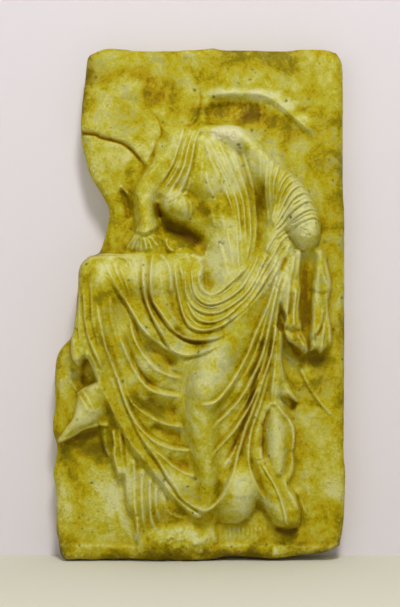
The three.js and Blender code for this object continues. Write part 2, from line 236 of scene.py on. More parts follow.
class Layer:
    # One sheet of cloth, limb or rock: swelling forms over a level, set down on what lies under it.
    def __init__(self, level):
        self.rise = level(acrossMap, upMap) if callable(level) else np.full_like(height, float(level))

    def limb(self, stations, blend=8, foot=0):      # stations: (x, z, radius, top)
        line = throughPoints(stations, 4)
        area, distance, _, along = nearLine(line, line[:, 2].max() * formReach["limb"])
        lengths = lengthsAlong(line) / lengthsAlong(line)[-1]
        radius = np.interp(along, lengths, line[:, 2])
        top = np.interp(along, lengths, line[:, 3])
        swell = top - (top - foot) * (distance / radius) ** 2
        self.rise[area] = softMax(self.rise[area], swell, blend)

    def mound(self, middle, wide, tall, top, blend=6, foot=0, turn=0):
        x, z = middle
        area = window(np.array([middle], float), max(wide, tall) * formReach["limb"])
        dx, dz = acrossMap[area] - x, upMap[area] - z
        cos, sin = math.cos(math.radians(turn)), math.sin(math.radians(turn))
        u = (dx * cos + dz * sin) / wide
        v = (dz * cos - dx * sin) / tall
        self.rise[area] = softMax(self.rise[area], top - (top - foot) * (u * u + v * v), blend)

    def dip(self, points, depth, width):
        area, distance, _, _ = nearLine(throughPoints(points, 3), width * formReach["dip"])
        self.rise[area] -= depth * np.exp(-(distance / width) ** 2)

    def setDown(self, outline, rim=8, foot=1.2, soft=0):
        area, distance = insideOutline(outline, max(rim, outlineReach))
        q = np.clip(distance / rim, 0, 1)
        rounded = np.sqrt(np.clip(1 - (1 - q) ** 2, 0, 1)) * ramp(distance, -outlineSoft, foot)
        shoulder = rounded * (1 - soft) + ramp(q, 0, 1) * soft
        over = np.maximum(self.rise[area] - height[area], 0)
        height[area] += np.where(distance > -outlineSoft, over * shoulder, 0)


grimeAndPaintedShade = np.zeros_like(height)       # dirt, and painted shade, that lies in the hollows


def hollow(points, depth, width, dirtAndPaintedLight, ends=(0.2, 0.2)):
    area, distance, _, along = nearLine(throughPoints(points, 3), width * formReach["hollow"])
    fade = ramp(along, -tiny, ends[0]) * ramp(1 - along, -tiny, ends[1])
    height[area] -= depth * fade * np.exp(-(distance / width) ** 2)
    # the dirt amount lays dirt and painted shade along the hollow
    grimeAndPaintedShade[area] += dirtAndPaintedLight * fade * np.exp(-(distance / width / grimeAndShadeWider) ** 2)


def pit(x, z, radius, depth):
    area = window(np.array([[x, z]], float), radius * formReach["pit"])
    distance = np.hypot(acrossMap[area] - x, upMap[area] - z)
    height[area] -= depth * np.exp(-(distance / radius) ** pitSharpness)


foldShape = {
    "width": 0.7,
    "height": 1.3,
    "merge": 3,
    "crestRound": 0.4,
    "sharpness": 1.1,
    "skirt": 0.42,          # share of the height that spreads out into the cloth beside the crest
    "gentle": 3.8,          # how far it spreads on the side away from the groove
    "even": 2.6,            # the same where there is no groove
    "steep": 1.5,           # the same on the side of the groove
    "grooveAway": 1.75,
    "grooveWide": 0.8,
    "grooveDeep": 1.25,
    "uneven": 0.27,
    "tall": 4.0,            # folds above this spread wider, so the cloth between them hangs in a curve
    "broaden": 1.7,
    "endWidth": 0.5,        # share of its width that a fold keeps where it fades out
    "skirtSharpness": 1.5,
    "livelyWidth": 0.6,
    "livelyHeight": 1.2,
    "livelyLimits": (0.3, 1.8),
    "livelyShift": (37, 53),        # raster steps between the patches of unevenness that two folds take
}

foldVariety = {
    "stations": 11,         # points on a fold that lies between two others
    "stray": 0.22,          # how far it strays from its even place
    "between": (0.45, 1.2),
    "width": (0.85, 1.2),
    "high": (0.8, 1.15),
}


def fold(points, width, high, ends=(0.12, 0.12), groove=0):
    # ends: shares of the length over which it fades in and out; groove: its depth, above zero on the left
    return {"line": points, "width": width, "high": high, "ends": ends, "groove": groove}


def evenPoints(points, count):
    line = throughPoints(points, 2)
    lengths = lengthsAlong(line)
    t = np.linspace(0, lengths[-1], count)
    return np.stack([np.interp(t, lengths, line[:, 0]), np.interp(t, lengths, line[:, 1])], 1)


def foldsBetween(first, last, count, width, high, ends, groove):
    a, b = evenPoints(first, foldVariety["stations"]), evenPoints(last, foldVariety["stations"])
    folds = []
    for t in np.linspace(0, 1, count + 2)[1:-1]:
        stray = random.uniform(-foldVariety["stray"], foldVariety["stray"]) / (count + 1)
        tall = high * random.uniform(*foldVariety["between"])
        folds.append(fold(a + (b - a) * (t + stray), width, tall, ends, groove))
    return folds


def foldFamily(lines, width, high, ends=(0.12, 0.12), groove=0, between=1, slim=0.62):
    # neighbouring folds, with slighter ones in the cloth between them
    folds = []
    for line in lines:
        wide = width * random.uniform(*foldVariety["width"])
        folds.append(fold(line, wide, high * random.uniform(*foldVariety["high"]), ends, groove))
    for first, last in zip(lines, lines[1:]):
        folds += foldsBetween(first, last, between, width * slim, high * slim, ends, groove * slim)
    return folds


def carveFolds(folds):
    shape = foldShape
    ridges = np.zeros_like(height)
    cuts = np.zeros_like(height)
    for number, one in enumerate(folds):
        width, high = one["width"] * shape["width"], one["high"] * shape["height"]
        broad = shape["broaden"] if one["high"] > shape["tall"] else 1
        line = throughPoints(one["line"])
        area, distance, side, along = nearLine(line, width * formReach["fold"] * broad + foldMargin)
        shift = [step * number for step in shape["livelyShift"]]
        lively = np.roll(liveliness, shift, (0, 1))[area] * shape["uneven"]
        start, end = one["ends"]
        fade = ramp(along, 0, start) * ramp(1 - along, 0, end)
        taper = shape["endWidth"] + (1 - shape["endWidth"]) * fade
        spread = width * taper * (1 + shape["livelyWidth"] * lively)
        rounded = np.sqrt(distance ** 2 + shape["crestRound"]) - math.sqrt(shape["crestRound"])
        crest = (1 - shape["skirt"]) * np.exp(-(rounded / spread) ** shape["sharpness"])
        beside = distance * side * (np.sign(one["groove"]) or 1)
        reach = shape["even"]
        if one["groove"]:
            reach = np.where(beside > 0, shape["steep"], shape["gentle"] * broad)
        skirt = shape["skirt"] * np.exp(-(rounded / spread / reach) ** shape["skirtSharpness"])
        swell = np.clip(1 + shape["livelyHeight"] * lively, *shape["livelyLimits"])
        ridge = high * fade * (crest + skirt) * swell
        merge = shape["merge"]
        ridges[area] = (ridges[area] ** merge + ridge ** merge) ** (1 / merge)
        if one["groove"]:
            offset = (beside / width - shape["grooveAway"]) / shape["grooveWide"]
            cut = abs(one["groove"]) * shape["grooveDeep"] * fade * np.exp(-offset ** 2) * (beside > 0)
            cuts[area] = np.maximum(cuts[area], cut)
    height[:] += ridges - cuts


# The rock ground: a broken block upper left, the veil's hollow, a ledge and mound at the foot

rock = {
    "waves": 0.8,
    "waveSize": 90,
    "blockHigh": 7,         # the block upper left, which sinks away upwards and to the right
    "veilDeep": 5.5,        # the hollow inside the veil, deepest at its left
    "veilLeast": 1.5,
    "ledgeTop": -289,
    "ledgeHigh": 3.2,
    "ledgeUneven": 0.25,
    "moundRough": 2.4,
}

crackLine = [(-190, 211), (-130, 203.5), (-120, 199.5), (-100, 194), (-88, 188.5), (-79, 180.5), (-71, 171),
             (-62, 161)]


roughStone = {"edge": (-4, 6), "pitDeep": 2, "pitFrom": (0.3, 1.1)}


def roughPatch(outline, grain, depth, sunk):
    area, distance = insideOutline(outline)
    rough = cloud(acrossMap[area], upMap[area], grain, 3)
    pitted = roughStone["pitDeep"] * depth * ramp(rough, *roughStone["pitFrom"])
    height[area] += ramp(distance, *roughStone["edge"]) * (depth * rough - pitted - sunk)


def carveGround():
    height[:] += rock["waves"] * cloud(acrossMap, upMap, rock["waveSize"], 3)
    block = Layer(lambda x, z: rock["blockHigh"] * (1 - ramp(z - 0.5 * (-x - 60), 140, 250)))
    rest = [(-57, 174), (-51, 190), (-45, 204), (-46, 214), (-52, 224), (-62, 232), (-90, 262), (-120, 290),
            (-150, 300), (-190, 300)]
    block.setDown(crackLine + rest, 9)
    veil = [(3, 238), (22, 243), (45, 246), (74, 244), (96, 232), (118, 215), (138, 195), (148, 172),
            (152, 130), (140, 90), (60, 120), (20, 200), (0, 215)]
    area, distance = insideOutline(veil, 26)
    x = acrossMap[area]
    depth = (rock["veilDeep"] * ramp(-x, -125, -20) + rock["veilLeast"]) * ramp(x, -2, 16)
    height[area] -= depth * ramp(distance, -2, 9) * ramp(-distance, -44, -12)
    carveFolds([
        fold([(3, 246), (18, 250), (45, 252), (77, 249), (100, 236), (122, 217), (142, 196)],
             5.0, 4.6, (0.15, 0.2), -1.4),
        fold([(5, 273), (30, 265), (54, 259), (77, 253)], 7, 1.3, (0.3, 0.3), -0.4),
    ])
    # a worn, pitted patch above the neck
    roughPatch([(-72, 262), (-58, 274), (-38, 272), (-26, 258), (-30, 240), (-46, 232), (-66, 240)],
               9, 1.1, 0.4)


def carveBase():
    # a low ledge along the foot, with a rough mound in the middle
    ledgeTop = rock["ledgeTop"] + 1.2 * np.sin(xs / 31) + 0.8 * cloud(xs, xs * 0, 24, 3)
    ledge = rock["ledgeHigh"] * ramp(ledgeTop[None, :] - upMap, -1.5, 2.5)
    height[:] += np.maximum(ledge * (1 + rock["ledgeUneven"] * cloud(acrossMap, upMap, 60, 2)), 0)
    rough = Layer(4)
    rough.limb([(-66, -284, 24, 13), (-40, -280, 26, 17), (-12, -282, 26, 16), (6, -286, 20, 12)], 4)
    rough.rise += rock["moundRough"] * cloud(acrossMap, upMap, 11, 4, 0.65)
    rough.setDown([(-80, -302), (-74, -284), (-62, -270), (-42, -262), (-20, -261), (0, -267), (12, -280),
                   (18, -302), (-30, -307)], 8)


# The tunic below the hem, and what stands right of the lower leg

def carveTunic():
    tunic = Layer(lambda x, z: 11 - 4 * ramp(-z, 235, 285))
    tunic.setDown([(-117, -130), (-118.5, -156), (-114.5, -175), (-105, -189), (-101, -202), (-98, -210),
                   (-92, -212), (-89, -228), (-86, -246), (-79, -251), (-77, -264), (-75, -286), (-20, -290),
                   (20, -288), (21, -262), (60, -200), (0, -160), (-60, -130), (-100, -120)], 7)


def carveStandingFoot():
    cloth = Layer(lambda x, z: 13 - ramp(-z, 120, 200))
    cloth.limb([(92, -20, 18, 27), (93, -60, 15, 25), (90, -100, 12, 22), (87, -118, 8, 18)], 4)
    cloth.limb([(87, -126, 9, 18), (89, -150, 15, 22), (91, -178, 15, 22), (92, -200, 12, 19)], 3, 6)
    cloth.limb([(70, -186, 12, 18), (80, -208, 16, 23), (90, -232, 18, 26), (100, -252, 20, 27)], 4, 4)
    cloth.limb([(96, -214, 12, 18), (107, -236, 13, 20), (111, -256, 12, 21)], 4, 6)
    cloth.dip([(79, -130), (75, -150), (76, -180)], 5, 4)
    cloth.dip([(103, -138), (107, -170), (104, -200)], 5, 4)
    cloth.dip([(94, -206), (102, -228), (106, -250)], 3, 4)
    cloth.setDown([(80, -20), (100, -35), (98, -60), (101, -78), (108, -98), (118, -119), (107, -115),
                   (97, -112), (104, -128), (113, -150), (113, -176), (112, -200), (106, -217), (113, -226),
                   (119, -241), (121, -257), (117, -267), (106, -271), (94, -269), (85, -263), (79, -250),
                   (69, -238), (56, -210), (48, -180), (60, -130)], 7)
    boulder = Layer(6)
    boulder.mound((46, -222), 32, 44, 32, 3, 4, -12)
    boulder.setDown([(20, -262), (40, -264), (55, -257.5), (62, -250), (68, -238), (70, -215), (62, -190),
                     (45, -180), (25, -200), (15, -235)], 8)


# The ends of the mantle that hang below the lost hand

def carveHangingEnds():
    behind = Layer(13)
    behind.setDown([(96, 66), (148, 66), (152, 30), (148, -10), (152, -44), (132, -52), (104, -46), (90, -30),
                    (84, 0), (84, 40)], 9)
    near = Layer(lambda x, z: 25 + 0.16 * (110 - x) + 1.4 * np.sin(z / 5.5 + x / 9))
    near.rise += 1.2 * cloud(acrossMap, upMap, 11, 2)
    near.limb([(103, 40, 8, 29), (101, 18, 7, 29), (98, 2, 6, 27)], 2, 18)
    near.dip([(110, 10), (106, -16), (103, -30)], 4, 2.6)
    near.dip([(100, -30), (110, -34), (121, -33)], 5, 3.0)
    near.mound((108, -40), 7, 6, 27, 2, 18)
    near.mound((123, -50), 6, 9, 26, 2, 17, 30)
    near.setDown([(106, 62), (100, 42), (96, 24), (93.5, 8), (96, -4), (101, -17), (99, -28), (101, -41),
                  (108, -49), (117, -54), (123, -59.5), (129, -58), (128, -46), (123, -36),
                  (121, -24), (119, -10), (120.5, 14), (119.5, 34), (121, 62)], 4.5)
    far = Layer(lambda x, z: 24.5 + 0.26 * (140 - x) + 0.8 * np.sin(z / 7 - x / 8))
    far.rise += 1.0 * cloud(acrossMap, upMap, 14, 2)
    far.limb([(138, 40, 9, 30), (137, 0, 9, 29), (136, -40, 9, 30)], 3, 18)
    far.dip([(132, 14), (143, 11), (156, 15)], 3, 2.4)
    far.dip([(148, 8), (149, -12), (144, -30), (136, -42)], 4, 3.2)
    far.dip([(151, -16), (152.5, -36), (151, -56)], 3.5, 2.6)
    far.setDown([(137, 64), (134, 40), (132.5, 15), (131.5, -10), (129, -32), (128.5, -50), (131, -58),
                 (138, -56.5), (143, -61), (149, -57.5), (155, -53), (159, -46), (158.5, -34), (156.5, -18),
                 (155, -4), (156, 10), (159, 20), (157, 36), (152, 50), (146, 64)], 6, soft=0.5)


# The body: neck, chest, right arm, belly, and the cloth that the right hand holds

def carveBody():
    neckStone = Layer(2)
    neckStone.limb([(1, 200, 10, 14), (2, 212, 9, 8), (4, 226, 8, 2.5), (6, 242, 9, 0.6)], 3)
    neckStone.setDown([(-14, 204), (-12, 213.5), (-5, 219), (-2, 228), (1, 245), (4, 252), (13, 245),
                       (9, 232), (12, 220), (22, 212), (8, 200)], 7, soft=0.8)
    body = Layer(12)
    body.limb([(-10, 206, 40, 15), (-2, 186, 52, 23), (8, 155, 58, 29), (24, 122, 50, 28), (38, 98, 46, 28),
               (44, 66, 46, 31), (42, 35, 46, 33), (38, 5, 46, 33)])
    body.mound((-25, 117), 24, 23, 32, 8, 8, 20)
    body.mound((12, 152), 36, 32, 32, 14, 14)
    body.limb([(4, 208, 18, 20), (24, 204, 20, 24), (44, 196, 22, 27)], 8)
    body.limb([(-32, 198, 24, 14), (-44, 182, 26, 17), (-53, 165, 24, 20), (-64, 145, 21, 24),
               (-68, 120, 19, 28), (-65, 100, 18, 32), (-64, 90, 16, 34)], 9)
    body.dip([(-44, 100), (-32, 92), (-18, 86), (-6, 78), (2, 66)], 11, 9)
    body.dip([(-14, 80), (-6, 72), (2, 62)], 3, 5)
    body.dip([(-10, 130), (0, 124), (12, 124), (22, 128)], 3.5, 8)
    body.dip([(-2, 118), (6, 105), (8, 90)], 3, 9)
    body.dip([(-48, 126), (-50, 110), (-46, 100), (-38, 92)], 5, 5)
    body.setDown([(-24, 213.5), (-36, 213), (-45, 212), (-46, 200), (-51, 188), (-57, 172), (-62, 159),
                  (-72, 150), (-82, 140), (-83, 128), (-81, 117), (-80, 105), (-79, 95), (-74, 84), (-66, 74),
                  (-56, 64), (-44, 54), (-30, 44), (-16, 34), (-10, 20), (20, -10), (100, -10), (100, 60),
                  (84, 90), (74, 120), (68, 160), (58, 196), (44, 212), (20, 213), (0, 211), (-14, 213)],
                 19, 4, soft=0.7)
    arm = Layer(13)
    arm.limb([(-42, 184, 28, 17), (-52, 166, 27, 20), (-63, 146, 26, 24), (-66, 120, 24, 28),
              (-64, 100, 22, 31), (-64, 88, 18, 32)], 5)
    arm.setDown([(-54, 180), (-62, 166), (-71, 153), (-80, 142), (-82.5, 130), (-80.5, 112), (-79, 98),
                 (-76, 86), (-66, 82), (-55, 86), (-50, 98), (-51, 112), (-50, 124), (-40, 138), (-32, 158),
                 (-28, 180)], 13, 3, soft=0.65)
    held = Layer(10)
    held.limb([(-64, 92, 22, 30), (-62, 76, 26, 28), (-55, 60, 30, 26)], 6)
    held.limb([(-40, 74, 12, 22), (-28, 62, 14, 24), (-8, 52, 14, 24)], 5)
    held.setDown([(-76, 88), (-84, 76), (-92, 58), (-92, 40), (10, 30), (4, 48), (-6, 62), (-22, 72),
                  (-36, 80), (-48, 84), (-52, 95), (-64, 98)], 10, 2)


# The mantle: round the left arm, over the lap and legs, and the shin that pushes it forward

def carveMantleSleeve():
    sleeve = Layer(14)
    sleeve.limb([(6, 206, 16, 16), (20, 204, 20, 23), (38, 198, 26, 29), (60, 184, 30, 31), (84, 156, 36, 33),
                 (106, 126, 38, 35), (122, 100, 34, 37), (129, 84, 26, 39)])
    sleeve.limb([(96, 110, 20, 33), (88, 88, 20, 34), (82, 66, 20, 33)], 6)
    sleeve.dip([(64, 172), (70, 142), (75, 114), (78, 94)], 4, 6)
    sleeve.setDown([(-4, 209), (4, 213), (20, 216), (40, 216), (54, 210), (64, 201), (74, 191), (84, 180),
                    (92, 171), (104, 161), (118, 149), (129, 135), (139, 118), (145, 103), (146, 86),
                    (142, 69), (136, 60), (128, 56.5), (118, 56), (111, 52), (100, 44), (84, 44), (72, 56),
                    (68, 80), (70, 98), (70, 113), (64, 130), (57, 148), (51, 165), (47, 182), (40, 190),
                    (28, 190), (10, 196)],
                   11, 2, soft=0.35)


hemLine = [(-131, -68), (-121, -95), (-110, -120), (-98, -145), (-84, -170), (-70, -187), (-50, -212),
           (-25, -240), (-4, -257)]


def carveLap():
    lap = Layer(lambda x, z: 27 - 9 * ramp(-z, 40, 240))
    lap.limb([(40, 26, 44, 34), (0, 27, 42, 33), (-30, 28, 40, 34), (-70, 28, 38, 37), (-100, 27, 37, 40),
              (-113, 26, 36, 42)])
    lap.limb([(-110, 26, 36, 42), (-117, -5, 34, 40), (-120, -35, 32, 38), (-122, -65, 27, 35),
              (-126, -92, 21, 30), (-132, -112, 16, 26)])
    lap.limb([(62, 22, 44, 36), (50, -5, 46, 40), (34, -40, 44, 46), (16, -78, 38, 50), (8, -103, 32, 49)], 9)
    lap.limb([(6, -100, 31, 49), (5, -140, 27, 42), (8, -180, 22, 36), (10, -215, 20, 31), (8, -248, 18, 25)],
             6)
    lap.limb([(90, 84, 14, 30), (88, 66, 15, 34), (88, 40, 17, 36), (84, 0, 18, 36), (76, -40, 16, 34)], 7)
    lap.dip([(-50, -50), (-38, -64), (-30, -90), (-30, -130), (-26, -165), (-20, -195)], 9, 12)
    lap.dip([(-60, 0), (-50, -30), (-36, -52)], 3, 9)
    rightSide = [(6, -252), (18, -245), (27, -234), (34, -220), (40, -205), (46, -188), (50, -172),
                 (57, -150), (66, -125), (77, -95), (86, -60), (93, -20), (99, 10), (106, 45), (112, 62)]
    waist = [(104, 82), (96, 92), (84, 94), (74, 82), (68, 62), (58, 38), (48, 24), (38, 15), (25, 12),
             (15, 12), (9, 17), (6, 26), (6, 38), (5, 50), (0, 58), (-22, 61.5), (-40, 60), (-60, 60.5),
             (-95, 60.5)]
    knee = [(-120, 60.5), (-134, 57), (-146, 45), (-149, 20), (-152, -20), (-155, -40), (-153, -62),
            (-148, -71), (-141, -74), (-133, -66)]
    lap.setDown(knee + hemLine[1:] + rightSide + waist, 8)


def carveShin():
    shin = Layer(8)
    shin.limb([(42, -36, 44, 28), (26, -66, 42, 43), (14, -90, 38, 48), (8, -108, 32, 48), (2, -140, 28, 41),
               (4, -180, 24, 34), (10, -205, 20, 28)], 8)
    shin.setDown([(-4, -54), (-16, -74), (-21, -90), (-22.5, -105), (-23, -125), (-22, -142), (-17, -156),
                  (-13, -172), (-9, -190), (-6, -205), (8, -215), (20, -205), (30, -180), (44, -140),
                  (60, -90), (76, -40), (50, 0), (12, -26)], 14, 2)


def carveRightFoot():
    foot = Layer(11)
    foot.limb([(-122, -100, 24, 29), (-130, -124, 24, 29), (-147, -140, 17, 26), (-160, -152, 12, 20)], 4, 4)
    foot.limb([(-112, -146, 7, 20), (-140, -154, 6, 19), (-160, -163, 6, 17)], 3, 5)
    foot.setDown([(-146, -105), (-136, -98), (-110, -90), (-92, -120), (-100, -146), (-119, -147),
                  (-128, -149), (-140, -153.5), (-152, -160.5), (-168, -168), (-172, -163), (-161, -149),
                  (-151, -134)], 7)


# Folds, one function for each part of the dress. A fold is its line, width, height and fades.

def chestFolds():
    folds = foldFamily([
        [(-19, 212), (-22, 196), (-27, 180), (-32, 166), (-40, 152), (-50, 138)],
        [(-10, 211), (-16, 197), (-21, 180), (-25, 164), (-33, 149), (-46, 131)],
        [(-5, 210), (-11, 196), (-15, 178), (-19, 162), (-26, 147), (-37, 130), (-42, 118)],
        [(-1, 208), (-6, 194), (-9, 176), (-12, 160), (-18, 143), (-27, 125), (-31, 112)],
    ], 2.7, 4.4, (0.06, 0.2), 1.8, 1, 0.6)
    folds += foldFamily([
        [(1, 204), (-1, 186), (-4, 168), (-7, 150), (-10, 136), (-12, 124)],
        [(3, 202), (3, 182), (2, 164), (1, 148), (0, 134)],
    ], 2.9, 1.8, (0.1, 0.35), 0.8)
    folds += foldFamily([
        [(4, 202), (8, 184), (13, 168), (20, 154), (27, 140), (34, 122), (40, 104), (43, 86)],
        [(6, 204), (12, 188), (20, 172), (28, 157), (36, 140), (43, 120), (47, 98), (49, 76), (50, 48)],
        [(20, 194), (28, 180), (35, 164), (41, 148), (48, 130), (52, 110), (54, 90), (55, 70), (54, 46)],
    ], 2.9, 3.5, (0.1, 0.35), 1.4, 1, 0.55)
    folds += foldFamily([
        [(40, 186), (44, 170), (49, 152), (55, 136), (59, 118), (60, 98), (60, 78), (58, 52)],
        [(49, 184), (53, 168), (59, 150), (64, 132), (67, 112), (68, 94), (66, 74), (63, 52)],
    ], 2.6, 3.0, (0.12, 0.35), 1.2)
    return folds + [
        fold([(-10, 139), (-26, 134), (-42, 124)], 2.2, 3.2, (0.25, 0.15), 1.4),
        fold([(-8, 131), (-22, 129), (-40, 119)], 2.0, 2.6, (0.3, 0.2), 1.2),
        fold([(-14, 126), (-10, 114), (-12, 102)], 2.2, 2.4, (0.3, 0.3), -1.0),
        fold([(12, 122), (14, 105), (19, 88)], 3.4, 2.4, (0.3, 0.3)),
        fold([(21, 124), (25, 104), (30, 85)], 5, 2.0, (0.3, 0.3)),
        fold([(11, 74), (6, 61), (1, 47)], 2.6, 3.4, (0.25, 0.25), 1),
        fold([(20, 78), (26, 60), (30, 44), (33, 30)], 2.4, 2.6, (0.3, 0.3), 0.6),
        fold([(30, 96), (34, 76), (37, 58), (39, 44), (42, 30)], 2.0, 3.2, (0.3, 0.3), 0.8),
        fold([(42, 100), (44, 80), (45, 62), (46, 44), (47, 32)], 2.0, 3.0, (0.3, 0.3), 0.8),
        fold([(60, 104), (61, 84), (58, 64), (54, 46)], 2.0, 3.0, (0.3, 0.3), 0.8),
        fold([(-14, 170), (-12, 150), (-14, 136), (-20, 124)], 2.0, 2.6, (0.3, 0.3), 0.8),
        fold([(6, 160), (10, 140), (16, 126), (22, 116)], 2.0, 2.6, (0.3, 0.3), 0.8),
    ]


def sleeveFolds():
    folds = foldFamily([
        [(70, 178), (71, 164), (71, 148), (73, 130), (76, 110), (79, 92)],
        [(79, 182), (80, 168), (78, 150), (78, 130), (80, 110), (81, 92)],
        [(87, 175), (85, 162), (82, 146), (82, 128), (83, 108)],
        [(95, 168), (91, 156), (87, 142), (86, 126), (86, 108)],
        [(104, 160), (98, 152), (92, 141), (89, 127), (87, 108)],
    ], 1.9, 2.9, (0.15, 0.1), 1.0)
    folds += foldFamily([
        [(112, 155), (104, 151), (96, 141), (91, 127), (88, 112), (84, 96)],
        [(119, 149), (109, 146), (100, 137), (94, 123), (90, 108), (84, 92)],
        [(126, 141), (115, 140), (105, 131), (98, 118), (92, 104), (85, 90)],
        [(132, 131), (121, 132), (109, 125), (101, 113), (94, 100), (86, 88)],
        [(137, 121), (126, 122), (114, 116), (104, 106), (96, 94), (87, 85)],
        [(141, 111), (130, 113), (118, 108), (107, 99), (98, 89), (87, 80)],
        [(144, 100), (133, 103), (121, 99), (109, 92), (99, 84), (88, 75)],
    ], 1.9, 3.6, (0.1, 0.1), 1.5)
    folds += foldFamily([
        [(116, 96), (105, 91), (94, 84), (84, 72), (76, 56), (68, 40)],
        [(116, 85), (106, 82), (96, 74), (88, 60), (80, 45), (72, 31)],
        [(112, 72), (105, 68), (97, 58), (91, 46), (84, 33)],
    ], 2.0, 3.0, (0.15, 0.15), 1.0, 2)
    return folds


def lapFolds():
    folds = foldFamily([
        [(4, 48), (1, 36), (0, 25), (4, 16), (11, 12), (20, 13), (32, 22), (44, 32), (54, 44)],
        [(-9, 48), (-9, 30), (-5, 12), (2, 3), (12, 0), (25, 3), (38, 10), (50, 20), (58, 33), (66, 48),
         (73, 64)],
        [(-17, 44), (-16, 20), (-11, 2), (-3, -7), (10, -11), (24, -9), (38, -1), (50, 8), (60, 20), (69, 36),
         (77, 53), (84, 68)],
        [(-26, 56), (-21, 35), (-17, 14), (-12, -4), (-5, -17), (6, -22), (18, -21), (32, -14), (46, -2),
         (58, 10), (68, 26), (79, 46), (90, 64)],
        [(-31, 56), (-28, 32), (-24, 8), (-19, -14), (-12, -27), (0, -32), (12, -31), (24, -26), (38, -17),
         (52, -6), (64, 8), (76, 26), (88, 46), (98, 62)],
    ], 2.2, 4.2, (0.12, 0.1), -1.8, 2, 0.55)
    return folds + [
        fold([(-50, 60), (-40, 51), (-34, 36), (-33, 11)], 3.4, 3.4, (0.15, 0.1), 0.8),
        fold([(112, 78), (105, 68), (98, 54), (91, 40), (83, 28), (74, 14), (64, 2), (52, -10), (38, -22),
              (24, -30)], 2.6, 3.8, (0.1, 0.25), -1.4),
        fold([(108, 72), (101, 56), (94, 42), (86, 28), (77, 14), (67, 1)], 1.8, 2.2, (0.15, 0.2), -0.8),
    ]


spineLine = [(-122, 4), (-117, -18), (-110, -50), (-100, -80), (-89, -112), (-79, -135)]


def thighFolds():
    # long sweeps from the raised thigh and knee into the hollow between the legs
    return [
        fold([(-55, 60), (-57, 40), (-57, 20), (-54, 2), (-46, -10), (-38, -22), (-28, -33), (-15, -41),
              (0, -43), (20, -40), (42, -28)], 3.0, 5.0, (0.08, 0.25), -2.6),
        fold([(-45, 60), (-46, 40), (-44, 15), (-36, -8), (-26, -24), (-14, -34), (0, -38)],
             2.0, 2.0, (0.1, 0.2)),
        fold([(-65, 54), (-66, 25), (-62, 0), (-52, -22), (-42, -40), (-35, -52), (-28, -57), (-15, -61),
              (0, -58), (15, -52), (30, -44)], 3.0, 5.0, (0.12, 0.2), -2.6),
        fold([(-76, 50), (-77, 25), (-72, 0), (-60, -24), (-48, -42)], 2.4, 1.8, (0.1, 0.2)),
        fold([(-112, 40), (-91, 8), (-66, -30), (-39, -53), (-14, -61), (8, -55)],
             3.4, 5.8, (0.2, 0.25), -2.2),
        fold([(-84, -14), (-74, -47), (-55, -74), (-38, -85), (-20, -91)], 4.0, 6.4, (0.2, 0.12), 3.0),
        fold([(-82, -44), (-74, -60), (-64, -76), (-50, -90), (-34, -98)], 2.6, 2.2, (0.2, 0.2)),
        fold([(-98, -28), (-86, -60), (-74, -85), (-55, -104), (-20, -113)], 4.0, 6.2, (0.2, 0.12), 2.6),
        fold([(-96, -58), (-86, -82), (-74, -104), (-58, -118), (-40, -124)], 2.6, 2.2, (0.2, 0.2)),
        fold([(-97, -86), (-82, -115), (-60, -133), (-40, -144), (-16, -148)], 4.2, 4.8, (0.2, 0.12), 1.6),
        fold(spineLine + [(-61, -158), (-38, -171), (-24, -174), (-6, -175)], 3.2, 5.6, (0.1, 0.06), 2.0),
        fold(spineLine[3:] + [(-72, -152), (-60, -170), (-50, -185), (-38, -205), (-30, -215), (-22, -228),
                              (-12, -238), (-3, -243), (6, -246), (20, -240)], 3.0, 4.8, (0.05, 0.1), -1.8),
        fold([(-72, -150), (-57, -170), (-43, -183), (-30, -194), (-18, -201), (-6, -204)],
             2.6, 4.0, (0.1, 0.03), 1.2),
        fold([(-66, -158), (-52, -178), (-38, -194), (-24, -208), (-10, -218)], 2.0, 1.8, (0.1, 0.2)),
        fold([(-112, -62), (-104, -86), (-98, -104), (-90, -124), (-80, -145), (-66, -166), (-52, -186)],
             2.4, 1.8, (0.2, 0.3)),
        fold([(-130, -66)] + [(x + 3, z + 3.5) for x, z in hemLine[1:]] + [(8, -249), (20, -240)],
             4.0, 3.6, (0.1, 0.1)),
    ]


